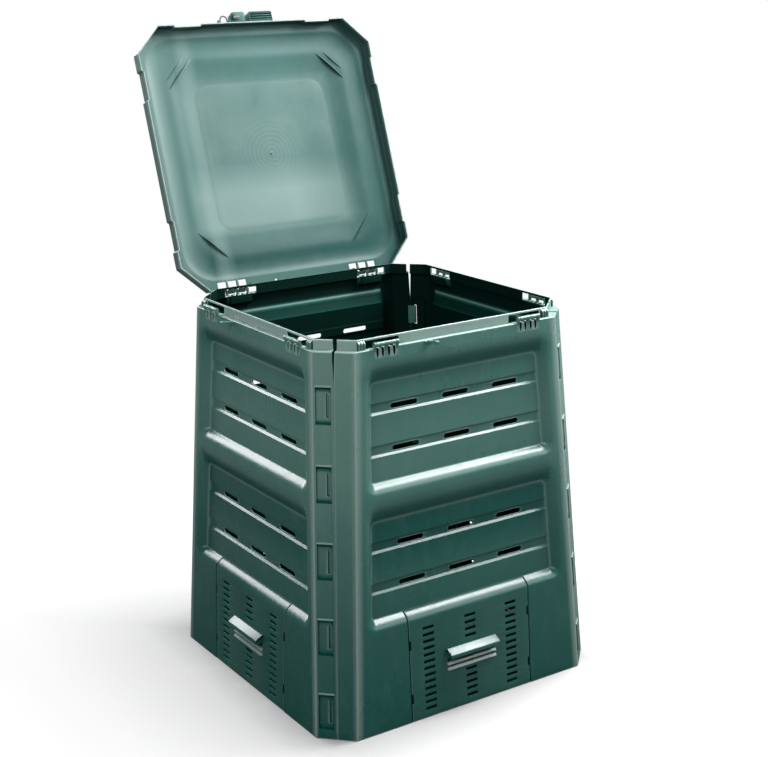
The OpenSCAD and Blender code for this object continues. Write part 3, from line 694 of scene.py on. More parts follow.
def extruded(outline, low, high, along="x", soft=0.7, steps=2):
    """A solid with an outline drawn across X as depth and height, or across Z in plan,
    and its edges softened."""
    shape = bmesh.new()
    ends = []
    for end in (low, high):
        spots = [(end, a, b) if along == "x" else (a, b, end) for a, b in outline]
        ends.append([shape.verts.new(spot) for spot in spots])
    shape.faces.new(ends[0])
    shape.faces.new(ends[1])
    for i in range(len(outline)):
        shape.faces.new((ends[0][i - 1], ends[0][i], ends[1][i], ends[1][i - 1]))
    bmesh.ops.recalc_face_normals(shape, faces=shape.faces)
    if soft:
        crisp = [e for e in shape.edges if e.calc_face_angle(0) > math.radians(20)]
        bmesh.ops.bevel(shape, geom=crisp, offset=soft, segments=steps, profile=0.6,
                        affect="EDGES", clamp_overlap=True)
    return shape


def to_side(end, near, far, outline, soft):
    """A solid left (-1) or right (1) of the middle, between two distances from it."""
    low, high = sorted((end * near, end * far))
    return extruded(outline, low, high, soft=soft)


def arc(middle, radius, start, end, steps):
    """Points of a rounded corner or a ring, in plan or across X."""
    angles = np.radians(np.linspace(start, end, steps + 1))
    return [(middle[0] + radius * math.cos(a), middle[1] + radius * math.sin(a))
            for a in angles]


def gathered(shapes, place=None):
    """Several solids as the points and faces of one mesh, moved to their place."""
    points, faces = [], []
    for shape in shapes:
        shape.verts.ensure_lookup_table()
        first = len(points)
        points += [tuple(v.co) for v in shape.verts]
        faces += [[first + v.index for v in f.verts] for f in shape.faces]
        shape.free()
    points = np.array(points)
    return (place(points) if place else points), faces


def station(middle):
    """Lugs, barrels with their rings, and the shelf under them with its two end walls."""
    axis = (-axis_out, axis_height)
    lug = [(-346, 904.5), (-346, 920), (-349, 923), (-354, 923), (-357, 920), (-357, 916),
           (-351.2, 901.5), (-347.5, 901.5)]
    shapes = [extruded(lug, middle + d - 2, middle + d + 2, soft=0.6)
              for d in (-barrel_length, 0, barrel_length)]
    for start in (middle - barrel_length, middle):
        shapes.append(extruded(arc(axis, barrel_radius, 0, 345, 23), start,
                               start + barrel_length, soft=0))
        for d in (3.2, 25.4):
            shapes.append(extruded(arc(axis, barrel_radius + 0.6, 0, 340, 17), start + d,
                                   start + d + 1.6, soft=0.3, steps=1))
    foot = (-base_half + lean * shelf_foot + wall_skin / 2, shelf_foot)
    shelf = [foot, (-328, 888), (-328, 908), (-331, 908), (-331, 889.7), (foot[0], 879)]
    end_wall = [foot, (-328, 888), (-328, 908), (-337, 908), (-348, 905)]
    shapes.append(extruded(shelf, middle - shelf_half, middle + shelf_half, soft=0.5))
    for start in (middle - shelf_half, middle + shelf_half - 3):
        shapes.append(extruded(end_wall, start, start + 3, soft=0.4))
    return shapes


def rim_block(end):
    """The block at one end of the lip, with three ribs across it."""
    start, length = 249, 18
    block = [(-336.5, 906), (-342, 906), (-342, 924), (-336.5, 928)]
    rib = [(-336.5, 906), (-345, 906), (-345, 921.5), (-344, 923), (-336.5, 929)]
    shapes = [to_side(end, start, start + length, block, 0.8)]
    for i in range(3):
        shapes.append(to_side(end, start + 6.8 * i, start + 6.8 * i + 4.4, rib, 0.9))
    return shapes


tip = -rim_half - beak_reach
beak = [(-349, 895), (-351.5, 895), (-359, 903), (tip + 8, 905.5), (tip + 4, 903.6),
        (tip + 1, 903.9), (tip, 905.5), (tip, 909), (tip + 1, 910.4), (tip + 7, 911),
        (-359, 907), (-349, 907)]
beak_foot = [(-349.5, 902), (-354, 903.5), (-354, 905.5), (-349.5, 907)]
rim_parts = station(-station_out) + station(station_out) + rim_block(-1) + rim_block(1)
rim_parts.append(extruded(beak, -88.5, -79.5, soft=0.9))
rim_parts.append(extruded(beak_foot, -97.5, -75, soft=0.6))
rim_points, rim_faces = gathered(rim_parts)
# Painted shade under the barrels and on the inner side of the fittings.
under_barrels = (rim_points[:, 2] < 893) | (rim_points[:, 1] > -335)
all_round("rim_fittings", rim_points, rim_faces, wall_plastic, "bin",
          marks={"stained": under_barrels.astype(float)})


# Corner hooks
# Moulded in one with each wall's left edge: five hooks that go behind the next wall's
# pockets and come out through their slots, where a small barb holds them.

hook_count = 5
hook_length = 50.0
hook_foot = pocket_tops[-1] - 67.5
hook_outline = [(4.5, 2), (4.5, 13.3), (-14.6, 13.3), (-16, 12), (-16, 9), (-17.3, 8.2),
                (-17.3, 7.4), (-16, 6.4), (-15.2, 5.4), (-13.6, 5.4), (-12.6, 6.6),
                (-12.5, 9.8), (1, 9.8), (1, 2)]


def repeat_tree(name):
    """Geometry nodes that set out copies of the piece in a row."""
    tree = bpy.data.node_groups.new(name, "GeometryNodeTree")
    for label, kind in (("Piece", "Geometry"), ("Copies", "Int"), ("Step", "Vector"),
                        ("Plastic", "Material")):
        tree.interface.new_socket(label, in_out="INPUT", socket_type="NodeSocket" + kind)
    tree.interface.new_socket("Row", in_out="OUTPUT", socket_type="NodeSocketGeometry")
    nodes = Nodes(tree)
    shape, copies, step, plastic = (nodes.node("NodeGroupInput", out=label)
                                    for label in ("Piece", "Copies", "Step", "Plastic"))
    line = nodes.node("GeometryNodeMeshLine", {"Count": copies, "Offset": step})
    row = nodes.node("GeometryNodeInstanceOnPoints", {"Points": line, "Instance": shape})
    real = nodes.node("GeometryNodeRealizeInstances", {0: row})
    painted = nodes.node("GeometryNodeSetMaterial", {"Geometry": real, "Material": plastic})
    nodes.plug(painted, tree.nodes.new("NodeGroupOutput").inputs[0])
    return tree


row_tree = repeat_tree("row_of_pieces")


def row_of(name, points, faces, copies, step, material, body):
    """A row of like pieces, made by geometry nodes and turned into one plain mesh."""
    first = new_object(name + "_first", plain_mesh(name, points, faces))
    spread = first.modifiers.new("row", "NODES")
    spread.node_group = row_tree
    values = {"Copies": copies, "Step": [s / 1000 for s in step], "Plastic": material}
    for item in row_tree.interface.items_tree:
        if item.in_out == "INPUT" and item.name in values:
            spread[item.identifier] = values[item.name]
    bpy.context.view_layer.update()
    view = bpy.context.evaluated_depsgraph_get()
    made = bpy.data.meshes.new_from_object(first.evaluated_get(view))
    first.modifiers.remove(spread)
    bpy.data.objects.remove(first)
    made.name = name
    return finish_piece(name, made, material, body)


def on_left_corner(points, side):
    """From across a corner face (along, depth, height) to the left corner of a wall."""
    along, depth, height = np.asarray(points).T
    reach = (2 * (base_half - lean * height) - corner_leg) / math.sqrt(2)
    x, y = along, depth - reach
    diagonal = math.sqrt(0.5)
    placed = np.stack([(x + y) * diagonal, (y - x) * diagonal, height], 1)
    return turned(placed, side)


hook_points, hook_faces = gathered([extruded(hook_outline, hook_foot, hook_foot + hook_length,
                                             along="z")])
for side in turns:
    low, high = on_left_corner([[0, 0, hook_foot], [0, 0, hook_foot + pocket_pitch]], side)
    row_of("corner_hooks_" + side, on_left_corner(hook_points, side), hook_faces, hook_count,
           high - low, wall_plastic, "bin")


# Door guides
# Moulded in one with the wall: a channel behind each side of the door opening, in which the
# door's lower tabs slide, with a stop under them.


def oblong(near, far, low, high):
    """A rectangle across X, between two depths and two heights."""
    return [(near, low), (far, low), (far, high), (near, high)]


def on_face(points):
    """From across the face (X, depth, height up the face) to the leaning front wall."""
    x, depth, up = np.moveaxis(np.asarray(points), -1, 0)
    return np.stack([x, -base_half + depth * lean_cos + up * lean_sin,
                     up * lean_cos - depth * lean_sin], -1)


guide_parts = []
for end in (-1, 1):
    guide_parts += [to_side(end, 188.5, 191.5, oblong(2, 11, 6, 255), 0.5),
                    to_side(end, 165.5, 191.5, oblong(8, 11, 6, 255), 0.5),
                    to_side(end, 181, 191, oblong(2, 11, 37.7, 45.7), 0.5)]
guide_points, guide_faces = gathered(guide_parts, on_face)
all_round("door_guides", guide_points, guide_faces, wall_plastic, "bin")


# Sliding doors
# A flat panel of the same polyethylene with three columns of air slots, whose shoulder lies
# flush with the foot of the lower field. Its tabs hold it in the guides, and it is lifted
# by a hooded grip over a finger recess.

grille_rows = [23 + 16.9 * i for i in range(13)]
grille_out = 121
slit_half = 16
slit_rise = 3.8
notch_feet = (46, 180)
notch_height = 24
notch_edge = 170.5
recess_low, recess_high, recess_half = 107, 150, 68.5
side_curve = (173.4, 174.6, 175.5, 175.9)
door_plastic = moulded_plastic("door_plastic", (0.006, 0.07, 0.057, 1),
                               (0.05, 0.13, 0.108, 1), 0.26)


def door_keep(across, up):
    """Which cells of the panel are there: all but the slots, notches and finger recess."""
    x, z = (across[1:] + across[:-1]) / 2, (up[1:] + up[:-1]) / 2
    keep = np.ones((len(z), len(x)), bool)
    for i, row in enumerate(grille_rows):
        level = np.abs(z - row) < slit_rise - 0.1
        keep[np.ix_(level, np.abs(np.abs(x) - grille_out) < slit_half)] = False
        beside_grip = 5 <= i <= 8
        if not beside_grip:
            keep[np.ix_(level, np.abs(x) < slit_half)] = False
    for foot in notch_feet:
        level = (z > foot) & (z < foot + notch_height)
        keep[np.ix_(level, np.abs(x) > notch_edge)] = False
    keep[np.ix_((z > recess_low) & (z < recess_high), np.abs(x) < recess_half)] = False
    return keep


def door_panel():
    """The front door: the moulded face again, rounded off at its sides and its foot."""
    up = [1, 1.8, 3.5, recess_low, recess_high, 232, 238, 243, 247, 250, 253, 255.5, 258, 260.5,
          263, 265.5, 268, 270.5, 272.8]
    up += [foot + rise for foot in notch_feet for rise in (0, notch_height)]
    up += [row + rise for row in grille_rows for rise in (-4.8, -slit_rise, slit_rise, 4.8)]
    up = np.array(sorted(set(up)))
    across = [0, slit_half, 17, 60, recess_half, 104, 105, 137, 138, 160, notch_edge, *side_curve]
    across = np.array([-x for x in across[:0:-1]] + across)
    x, z = np.meshgrid(across, up)
    keep = door_keep(across, up)
    depth = face_depth(x, z)
    ease = np.interp(np.abs(x), side_curve, [0, 0.3, 1.6, 3.0])
    ease = np.maximum(ease, np.interp(z, [1, 1.8, 3.5], [1.2, 0.4, 0]))
    outer = depth + np.maximum(ease, 0.45 * hole_rims(keep))
    inner = np.minimum(depth + wall_skin, field_depth - 0.35)
    points, faces, used = sheet(on_face(np.stack([x, outer, z], 2)),
                                on_face(np.stack([x, inner, z], 2)), keep)
    # Painted shade in the gaps at the door's sides, with a painted highlight just inside them.
    stained = np.interp(np.abs(x), side_curve[1:3], [0, 1])
    worn = np.interp(np.abs(x), side_curve[:3], [0, 0.3, 0])
    return points, faces, sheet_marks(used, stained, worn)


def door_grip():
    """The hood with its cheeks, the box of the finger recess, two lips under the hood, and
    the four tabs at the edges with the ground of their notches."""
    hood = [(2, 158), (-2.6, 158), (-20, 146.6), (-21, 144.8), (-21, 137.4), (-18.7, 137.4),
            (-18.7, 142.4), (-2, 151.4), (2, 151.4)]
    cheek = hood[:5] + [(2, 137.6)]
    lower_lip = [(-5, 103.4), (15, 103.4), (15, 109.2), (-1.8, 109.2), (-5, 103.8)]
    upper_lip = [(-4.4, 116.6), (15, 116.6), (15, 122.2), (-1.3, 122.2), (-4.4, 117)]
    hood_half, box_half, lip_half = 72, 70, 71
    shapes = [extruded(hood, -hood_half, hood_half, soft=0.8)]
    for low in (-hood_half, hood_half - 3):
        shapes.append(extruded(cheek, low, low + 3, soft=0.7))
    for low in (-hood_half, hood_half - 3.5):
        shapes.append(extruded(oblong(1, 17.4, 103.6, 153), low, low + 3.5, soft=0.5))
    for outline in (oblong(14, 17.5, 103.6, 153), oblong(1, 17, 150, 153)):
        shapes.append(extruded(outline, -box_half, box_half, soft=0.8))
    for outline in (lower_lip, upper_lip):
        shapes.append(extruded(outline, -lip_half, lip_half, soft=0.8))
    for end in (-1, 1):
        for foot, out in zip(notch_feet, (186, 176.5)):
            top = foot + notch_height
            shapes.append(to_side(end, 166.5, out, oblong(3.9, 7.1, foot, top), 0.4))
            shapes.append(to_side(end, 166.5, 172.4, oblong(2, 6, foot, top), 0.3))
    points, faces = gathered(shapes)
    # Painted highlights on the lips under the hood, and painted shade on the tabs in the notches.
    lips = (points[:, 1] < 0) & (points[:, 2] < 125)
    tabs = np.abs(points[:, 0]) > 166
    return on_face(points), faces, {"worn": 0.5 * lips, "stained": 1.0 * tabs}


door_points, door_faces, door_marks = door_panel()
all_round("door_panel", door_points, door_faces, door_plastic, "door_SIDE",
          ["door_SIDE"], door_marks)
grip_points, grip_faces, grip_marks = door_grip()
all_round("door_grip", grip_points, grip_faces, door_plastic, "door_SIDE",
          marks=grip_marks)


# Lid
# A thin moulded tray of polyethylene with a shallow dish and a skirt, cut away round the
# hinges and over the rim blocks. It is drawn closed and stands open at its stops.

lid_angle = math.radians(109)
lid_edge = 348.5
lid_skin = 2.8
lid_straight = [0, 22, 45, 66, 74, 100, 128, 148, 155, 158.6, 175, 200, 216, 231, 235]
lid_corner = [242, 246, 258, 270, 278.5]
lid_chamfer = [0.17, 0.34, 0.5]
chamfer_slope = 0.414
hinge_recess = 5.0
hinge_cut = (158, 242)
block_cut = (246, 270)
edge_slit = (-74, -66)


def opened(points):
    """From the closed lid to its open place."""
    x, y, z = np.moveaxis(np.asarray(points, float), -1, 0)
    out, up = y - axis_out, z - axis_height
    return np.stack([x, axis_out + out * math.cos(lid_angle) + up * math.sin(lid_angle),
                     axis_height - out * math.sin(lid_angle) + up * math.cos(lid_angle)], -1)


def skirt_side(half, step):
    """Half a side of the skirt: set back over the hinges by a share of the recess, then a
    chamfered corner."""
    start, end = lid_corner[0], lid_corner[-1]
    corner = end - chamfer_slope * (lid_edge - half)
    near, far = hinge_cut[0], hinge_cut[1] - 10
    side = [(t, half - hinge_recess * step * (near < t < far)) for t in lid_straight]
    side += [(start + (t - start) * (corner - start) / (end - start), half)
             for t in lid_corner]
    side += [(corner + share * (half - corner), half - share * (half - corner))
             for share in lid_chamfer]
    return side


def dish_side(half, bend):
    """Half a side of the dish: a rounded square."""
    side = [(t * (half - bend) / lid_straight[-1], half) for t in lid_straight]
    bends = len(lid_corner) + len(lid_chamfer)
    for i in range(1, bends + 1):
        turn = math.radians(45 * i / bends)
        side.append((half - bend + bend * math.sin(turn), half - bend + bend * math.cos(turn)))
    return side


def lid_ring(side, level):
    """All round the lid at one level, from half of a side."""
    whole = np.array([(-x, y) for x, y in side[:0:-1]] + side[:-1])
    quarter = np.array([[0, -1], [1, 0]])
    ring = np.concatenate([whole @ np.linalg.matrix_power(quarter, k) for k in range(4)])
    return np.column_stack([ring, np.full(len(ring), level)])


def lid_shell():
    """The tray, in rings up the skirt, over its edge and in to the middle of the dish. A
    ring of the skirt has its reach and level outside and inside, one of the dish its
    reach, the radius of its corners, or 0 for the skirt's own, and its level."""
    skirt = [(347.9, 908.3, 345.9, 908.3), (348.5, 909.1, 345.7, 909.1),
             (348.5, 918.2, 345.7, 918.2), (348.5, 930, 345.7, 930),
             (348.5, 936.8, 345.7, 935.4), (348.1, 938.9, 345.3, 936.9),
             (347.0, 940.4, 344.5, 937.9), (345.0, 941, 343.4, 938.2)]
    dish = [(342.5, 0, 941), (336.5, 0, 941), (325.5, 0, 941), (322, 87, 941),
            (320, 85, 941.3), (317.5, 85, 942.3), (314, 84, 943.7), (310, 83, 945.0),
            (306, 82, 945.9), (301, 81, 946.6), (294, 80, 947.1), (286, 79, 947.2),
            (278, 78, 946.8), (271, 77, 946.3), (264, 76, 946.1), (258, 75, 946.6),
            (251, 74, 947.6), (243, 73, 948.9), (234, 72, 950.3), (225, 70, 951.6),
            (216, 68, 952.7), (207, 65, 953.5), (199, 52, 954.0), (194, 40, 954.1),
            (190.5, 36, 953.75), (187, 34, 953.7), (170, 32, 953.7), (140, 30, 953.8),
            (105, 26, 954.0), (70, 22, 954.1), (38, 16, 954.2), (16, 8, 954.2), (5, 3, 954.2)]
    outer, inner = [], []
    for reach, level, inner_reach, inner_level in skirt:
        outer.append(lid_ring(skirt_side(reach, 1), level))
        inner.append(lid_ring(skirt_side(inner_reach, 1), inner_level))
    for reach, bend, level in dish:
        step = np.interp(reach, [325.5, 345], [0, 1])
        side = dish_side(reach, bend) if bend else skirt_side(reach, step)
        outer.append(lid_ring(side, level))
        inner.append(lid_ring(side, level - lid_skin))
    outer, inner = np.array(outer), np.array(inner)
    x, y = outer[0, :, 0], outer[0, :, 1]
    middle = (x + np.roll(x, -1)) / 2
    out = np.abs(middle)
    back = (y + np.roll(y, -1)) / 2 > 330
    keep = np.ones((len(outer) - 1, len(x)), bool)
    keep[:10, back & (out > hinge_cut[0]) & (out < hinge_cut[1])] = False
    keep[:2, back & (out > block_cut[0]) & (out < block_cut[1])] = False
    keep[8, back & (middle > edge_slit[0]) & (middle < edge_slit[1])] = False
    points, faces, used = sheet(opened(outer), opened(inner), keep, closed=True)
    # Painted highlight along the lower edge of the skirt.
    levels = np.concatenate([outer[..., 2].ravel(), inner[..., 2].ravel()])[used]
    return points, faces, {"worn": 0.5 * (levels < 909.5)}


def lid_painted_light_and_flow_marks(made, colour):
    """Painted light and flow marks: painted sheen on the middle square and its lower part, a
    painted highlight on the left of the dish, painted shade at the hinge side and the right of
    the dish, and real flow marks in rings round the gate."""
    pale, shade_green = (0.1, 0.158, 0.145, 1), (0.001, 0.036, 0.032, 1)
    x, y, z = made.axes()
    run = ((y - axis_out / 1000) * math.cos(lid_angle) + axis_out / 1000
           - (z - axis_height / 1000) * math.sin(lid_angle))
    square = x.op("ABSOLUTE").op("MAXIMUM", run.op("ABSOLUTE")) / 0.35
    across, along = x / 0.7 + 0.5, run / 0.7 + 0.5
    from_gate = (x * x + run * run) ** 0.5
    foot = made.ramp(along, (0.77, 0), (0.86, 1), (0.93, 1), (0.97, 0.3))
    low = made.ramp(along, (0.52, 0), (0.64, 1), (0.76, 0.9), (0.8, 0))
    middle = made.ramp(square, (0.5, 1), (0.66, 0.6), (0.8, 0))
    right = made.ramp(across, (0.56, 0), (0.84, 1), (0.93, 0.7), (0.97, 0.1))
    left = made.ramp(across, (0.045, 0.8), (0.1, 0.35), (0.16, 0), (0.19, 0.5),
                     (0.215, 0.5), (0.25, 0))
    plateau = made.ramp(square, (0.53, 1), (0.62, 0.25), (0.8, 0), (0.9, 0.35))
    patches = made.ramp(made.noise(4.5, 5, 0.6), (0.35, 0.15), (0.68, 1))
    rings = (from_gate * 520 + made.noise(7, 2, 0.5) * 9).op("SINE") * 0.5 + 0.5
    near_gate = made.ramp(from_gate / 0.2, (0.0, 1), (0.3, 0.8), (0.62, 0))
    # Painted shade, painted sheen and a painted highlight, then the real flow marks round the
    # gate.
    for share, tone in ((foot * 0.8, shade_green), (low * middle * 0.4, (0.3, 0.38, 0.35, 1)),
                        (right * 0.75, shade_green), (left * 0.6, (0.15, 0.22, 0.205, 1)),
                        (plateau * patches * 0.6, pale), (near_gate * rings * 0.35, pale)):
        colour = made.blend(share, colour, tone)
    return colour


def diagonal_rib(x, y, half, rise):
    """A thin rib across a corner of the dish, highest in its middle."""
    along = np.linspace(-half, half, 13)
    low = 944.8 - rise * (1 - (along / half) ** 2)
    outline = list(zip(along, low)) + [(half, 945.3), (0, 946.6), (-half, 945.3)]
    points, faces = gathered([extruded(outline, -1.7, 1.7, soft=0.5)])
    across, run, z = points.T
    turn = math.atan2(x, -y)
    return np.stack([x + run * math.cos(turn) - across * math.sin(turn),
                     y + run * math.sin(turn) + across * math.cos(turn), z], 1), faces


lid_plastic = moulded_plastic("lid_plastic", (0.014, 0.072, 0.066, 1),
                              (0.1, 0.158, 0.145, 1), 0.4, grain=0.7, shine=0.15,
                              dressing=lid_painted_light_and_flow_marks)
lid_points, lid_faces, lid_marks = lid_shell()
piece("lid_tray", lid_points, lid_faces, lid_plastic, "lid", ["lid"], lid_marks)
ribs = [diagonal_rib(x, y, 60, 6.6) for x in (-227, 227) for y in (-227, 227)]
ribs += [diagonal_rib(x, -240, 46, 4.2) for x in (-240, 240)]
gate = extruded(arc((0, 0), 4.5, 0, 345, 23), 949.9, 953.4, along="z", soft=0.5)
ribs.append(gathered([gate]))
for i, (points, faces) in enumerate(ribs):
    piece("lid_rib_%d" % i, opened(points), faces, lid_plastic, "lid")


# Lid hinge hooks
# Moulded in one with the lid: open sleeves that snap round the barrels, each hung from a
# narrow arm, with two stops beside it that pass under the lip and hold the lid open.

hook_step = 30.0
sleeve_half = 9.0
sleeve = (arc((axis_out, axis_height), 8.5, 0, 270, 20)
          + arc((axis_out, axis_height), barrel_radius + 0.15, 270, 0, 16))
arm = [(322.5, 941), (351, 941), (356, 936), (356, 925.4), (348.6, 925.4), (346, 933),
       (322.5, 936)]
stop = [(334.8, 925.7), (334.8, 923.2), (340, 922), (344.8, 921.2), (346.8, 922.2),
        (348.4, 924.8), (346.6, 927.5), (341, 927.5), (338.8, 925.7)]
stop_points, stop_faces = gathered([extruded(stop, d - 2, d + 2, soft=0.5) for d in (-7, 7)])
sleeve_points, sleeve_faces = gathered([
    extruded(sleeve, -sleeve_half, sleeve_half, soft=0.35, steps=1),
    extruded(arm, -2.5, 2.5, soft=0.6)], opened)
hinge_points = np.concatenate([sleeve_points, stop_points])
hinge_faces = sleeve_faces + [[len(sleeve_points) + i for i in f] for f in stop_faces]
for side, middle in (("left", -station_out), ("right", station_out)):
    row_of("lid_hooks_" + side, hinge_points + [middle - hook_step / 2, 0, 0], hinge_faces, 2,
           [hook_step, 0, 0], lid_plastic, "lid")


# Lid grip
# A ribbed finger hood and the housing of the latch knob on one plate at the lid's front
# edge, with two ears for the wire bail. It is moulded apart and clipped on.

grip_out = -377.5
grip_foot = 915.0
grip_top = 941.0
ear_out, ear_height = -352.5, 917.0
bail_x = -84.0
latch_plastic = moulded_plastic("latch_plastic", (0.008, 0.06, 0.052, 1),
                                (0.03, 0.1, 0.088, 1), 0.36, shine=0.15)


def rounded_box(x0, x1, y0, y1, radius):
    """A rectangle in plan with rounded corners."""
    return (arc((x0 + radius, y0 + radius), radius, 180, 270, 5)
            + arc((x1 - radius, y0 + radius), radius, 270, 360, 5)
            + arc((x1 - radius, y1 - radius), radius, 0, 90, 5)
            + arc((x0 + radius, y1 - radius), radius, 90, 180, 5))


def grip_shell():
    """The finger hood with its cap, the knob's housing, both plates and the two ears."""
    left, right = (-3, grip_out + 5), (57, grip_out + 5)
    hood_plan = ([(-8, -347), (-8, grip_out + 5)] + arc(left, 5, 180, 270, 5)
                 + arc(right, 5, 270, 360, 5) + [(62, -347), (59.5, -347)]
                 + arc(right, 2.5, 360, 270, 5) + arc(left, 2.5, 270, 180, 5)
                 + [(-5.5, -347)])
    hood_cap = ([(-7, -348)] + arc(left, 4.2, 180, 270, 5) + arc(right, 4.2, 270, 360, 5)
                + [(61, -348)])
    housing_plan = ([(-62, -348)] + arc((-53, grip_out + 9), 9, 180, 270, 7)
                    + arc((-25, grip_out + 5), 5, 270, 360, 5) + [(-20, -348)])
    back_plate = rounded_box(-62, 62, -352, -348.5, 1.2)
    ear_plate = rounded_box(-102, -60, -350, -348.5, 0.6)
    shapes = [extruded(hood_plan, grip_foot, grip_top, along="z", soft=0.6),
              extruded(hood_cap, 938.4, 940.6, along="z", soft=0.3),
              extruded(housing_plan, grip_foot, 934, along="z", soft=1.1),
              extruded(back_plate, grip_foot, 940.8, along="z", soft=0.5),
              extruded(ear_plate, 912.5, 940.4, along="z", soft=0.4)]
    ear = ([(-348, 912.6)] + arc((ear_out, ear_height), 4.5, 270, 90, 8) + [(-348, 921.4)])
    for low in (bail_x - 18, bail_x + 13):
        shapes.append(extruded(ear, low, low + 5, soft=0.5))
    return gathered(shapes, opened)


shell_points, shell_faces = grip_shell()
piece("lid_grip_shell", shell_points, shell_faces, latch_plastic, "lid",
      ["lid_grip"])
rib_plan = rounded_box(-6, 60, -374.6, -371.8, 0.8)
rib_points, rib_faces = gathered([extruded(rib_plan, 916.2, 939.4, along="z", soft=0.5)], opened)
rib_step = (opened([[0, 6, 0]]) - opened([[0, 0, 0]]))[0]
row_of("lid_grip_ribs", rib_points, rib_faces, 4, rib_step, latch_plastic, "lid")


# Latch knob and cam
# A quarter-turn knob in the housing, moulded of the grip's plastic. The half-moon cam is
# pressed on the end of its shaft; it has a coin slot and two small sockets.

knob_x, knob_y = -48.0, -363.0
knob_radius = 10.5
shaft_radius = 9.0
cam_radius = 10.0
cam_flat_turn = math.degrees(math.asin(0.6))
socket_plastic = moulded_plastic("socket_plastic", (0.12, 0.06, 0.045, 1),
                                 (0.17, 0.09, 0.07, 1), 0.5)


def knob_disc(radius, low, high, soft):
    return extruded(arc((knob_x, knob_y), radius, 0, 350, 35), low, high, along="z", soft=soft)


thumb_bar = rounded_box(knob_x - 9, knob_x + 9, knob_y - 3, knob_y + 3, 1.6)
knob_points, knob_faces = gathered([knob_disc(knob_radius, 934.3, 939.3, 0.8),
                                    extruded(thumb_bar, 938.5, 945.3, along="z", soft=0.9),
                                    knob_disc(shaft_radius, 914.2, 935, 0.3)], opened)
piece("latch_knob_cap", knob_points, knob_faces, latch_plastic, "knob",
      ["latch_knob"])

cam_plan = arc((knob_x, knob_y), cam_radius, 180 - cam_flat_turn, 360 + cam_flat_turn, 24)
cam_points, cam_faces = gathered([extruded(cam_plan, 910.7, 914.7, along="z", soft=0.5)], opened)
piece("latch_cam_half", cam_points, cam_faces, latch_plastic, "knob",
      ["latch_cam"])

sockets = [extruded(arc((knob_x + d, knob_y), 1.8, 0, 330, 11), 910.5, 911.2, along="z",
                    soft=0.15, steps=1) for d in (-6, 6)]
coin_slot = [(knob_x - 5.5, knob_y - 1), (knob_x + 5.5, knob_y - 1), (knob_x + 5.5, knob_y + 1),
             (knob_x - 5.5, knob_y + 1)]
sockets.append(extruded(coin_slot, 910.55, 911.2, along="z", soft=0.15, steps=1))
socket_points, socket_faces = gathered(sockets, opened)
piece("latch_cam_sockets", socket_points, socket_faces, socket_plastic, "knob")


# Wire bail
# A bent steel wire loop whose ends turn in the two ears. A cord tied to it and to one of
# the beaks on the rim holds the lid against wind.

wire_radius = 1.95
wire_steel = Finish("wire_steel")
drawn = wire_steel.ramp(wire_steel.noise(180, 3, 0.6, (1, 1, 0.3)), (0.3, 0), (0.7, 1))
wire_steel.set(base_color=wire_steel.blend(drawn, (0.05, 0.052, 0.055, 1),
                                           (0.13, 0.13, 0.135, 1)),
               metallic=0.8, roughness=drawn * 0.12 + 0.4)


def tube(path, radius, sides=12):
    """Round wire along a flat path of points in plan, closed at both ends."""
    path = np.array(path)
    run = np.gradient(path, axis=0)
    run /= np.linalg.norm(run, axis=1)[:, None]
    angles = np.arange(sides) * 2 * math.pi / sides
    points = [[x - dy * radius * math.cos(a), y + dx * radius * math.cos(a), radius * math.sin(a)]
              for (x, y), (dx, dy) in zip(path, run) for a in angles]
    rings = np.arange(len(path) * sides).reshape(len(path), sides)
    faces = [quad for low, high in zip(rings, rings[1:])
             for quad in zip(low, np.roll(low, -1), np.roll(high, -1), high)]
    faces += [rings[0][::-1], rings[-1]]
    return np.array(points), faces


bail_path = ([(-17.6, 0), (-13, 0), (-10.6, -0.6), (-10, -2.4), (-10, -5)]
             + arc((0, -5), 10, 180, 360, 22)[1:-1]
             + [(10, -5), (10, -2.4), (10.6, -0.6), (13, 0), (17.6, 0)])
bail_points, bail_faces = tube(bail_path, wire_radius)
piece("latch_bail_wire", opened(bail_points + [bail_x, ear_out, ear_height]), bail_faces,
      wire_steel.material, "bail", ["latch_bail"])


# Floor, lights and camera
# A pale studio floor that fades into white, with painted shade under the bin and a painted
# contact shadow round its foot, soft light from square panels above, at both sides and
# behind, and the camera at the photograph's place. None of it is a piece.

floor_mesh = bpy.data.meshes.new("studio_floor")
floor_mesh.from_pydata([(-9, -9, 0), (9, -9, 0), (9, 9, 0), (-9, 9, 0)], [], [(0, 1, 2, 3)])
studio_floor = new_object("studio_floor", floor_mesh)

ground = Finish("studio_floor")
in_view = ground.node("ShaderNodeLightPath")
x, y = (axis.op("ABSOLUTE") for axis in ground.axes()[:2])
# Painted shade: the floor under the bin is painted dark.
outside = ground.ramp(x.op("MAXIMUM", y).op("MAXIMUM", (x + y) * 0.545),
                      (0.394, 0), (0.399, 1))
# Painted contact shadow: the floor's glow is lowered near the bin's foot.
painted_contact_shadow = ground.ramp(x.op("MAXIMUM", y) + x * 0.1,
                        (0.4, 0), (0.43, 0.2), (0.54, 0.62), (0.85, 1))
distance = ground.node("ShaderNodeVectorMath", {0: ground.place()}, out="Value",
                       operation="LENGTH")
far_off = ground.ramp(distance / 3.2, (0.16, 0), (0.5, 1))
paint = ground.blend(outside, (0.004, 0.008, 0.007, 1),
                     ground.blend(in_view, grey(0.12), grey(0.3)))
glow = ground.blend(outside, (0.0, 0.003, 0.002, 1),
                    ground.blend(painted_contact_shadow, grey(0.12), grey(0.6)))
ground.set(base_color=paint, roughness=0.9)
ground.shader.inputs["Specular IOR Level"].default_value = 0.0
lift = ground.node("ShaderNodeEmission", {"Color": glow, "Strength": 1.0})
white = ground.node("ShaderNodeEmission", {"Color": grey(1), "Strength": 1.0})
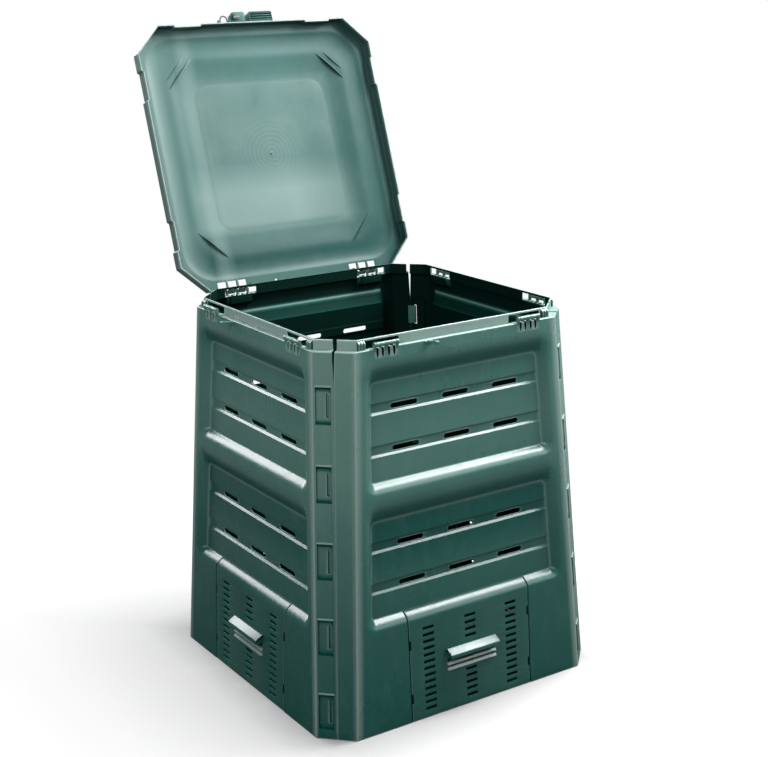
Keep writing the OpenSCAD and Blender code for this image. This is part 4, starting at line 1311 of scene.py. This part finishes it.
lifted = ground.node("ShaderNodeAddShader", {0: ground.surface, 1: lift})
near_bin = ground.node("ShaderNodeMixShader", {0: in_view, 1: ground.surface, 2: lifted})
ground.show(ground.node("ShaderNodeMixShader", {0: in_view * far_off, 1: near_bin, 2: white}))
floor_mesh.materials.append(ground.material)

world = bpy.data.worlds.new("studio")
bpy.context.scene.world = world
world.use_nodes = True
sky = Nodes(world.node_tree)
soft_light = sky.tree.nodes["Background"]
soft_light.inputs["Color"].default_value = (0.93, 0.97, 1.0, 1)
soft_light.inputs["Strength"].default_value = 0.16
backdrop = sky.node("ShaderNodeBackground", {"Color": grey(1)})
seen = sky.node("ShaderNodeLightPath", out="Is Camera Ray").op(
    "MAXIMUM", sky.node("ShaderNodeLightPath", out="Is Transmission Ray"))
either = sky.node("ShaderNodeMixShader", {0: seen, 1: Maths(sky, soft_light.outputs[0]),
                                          2: backdrop})
sky.plug(either, sky.tree.nodes["World Output"].inputs[0])

for name, spot, aim, size, power in (
        ("top_panel", (1.6, -0.35, 2.9), (0, -0.3, 0.4), 1.6, 235),
        ("right_panel", (2.2, -2.7, 2.6), (0, 0, 0.9), 2.4, 60),
        ("left_panel", (-2.9, -1.9, 2.6), (0, 0, 0.9), 1.9, 88),
        ("back_panel", (-0.6, 3.5, 2.6), (-0.3, 0, 0.5), 2.4, 190)):
    lamp = bpy.data.lights.new(name, "AREA")
    lamp.shape = "SQUARE"
    lamp.size = size
    lamp.energy = power
    stand = new_object(name, lamp)
    stand.location = spot
    stand.rotation_euler = (Vector(aim) - Vector(spot)).to_track_quat("-Z", "Y").to_euler()

camera_place = (-1.9275, -3.0077, 1.7240)
azimuth, elevation, roll = math.radians(-32.93), math.radians(15.65), math.radians(-1.15)
backwards = Vector((math.sin(azimuth) * math.cos(elevation),
                    -math.cos(azimuth) * math.cos(elevation), math.sin(elevation)))
right = Vector((0, 0, 1)).cross(backwards).normalized()
upright = backwards.cross(right)
level_right = math.cos(roll) * right + math.sin(roll) * upright
level_up = -math.sin(roll) * right + math.cos(roll) * upright
lens = bpy.data.cameras.new("camera")
lens.lens = 69.39
lens.sensor_width = 36
camera = new_object("camera", lens)
pose = Matrix((level_right, level_up, backwards)).transposed().to_4x4()
pose.translation = camera_place
camera.matrix_world = pose
bpy.context.scene.camera = camera
bpy.context.scene.view_settings.view_transform = "Standard"
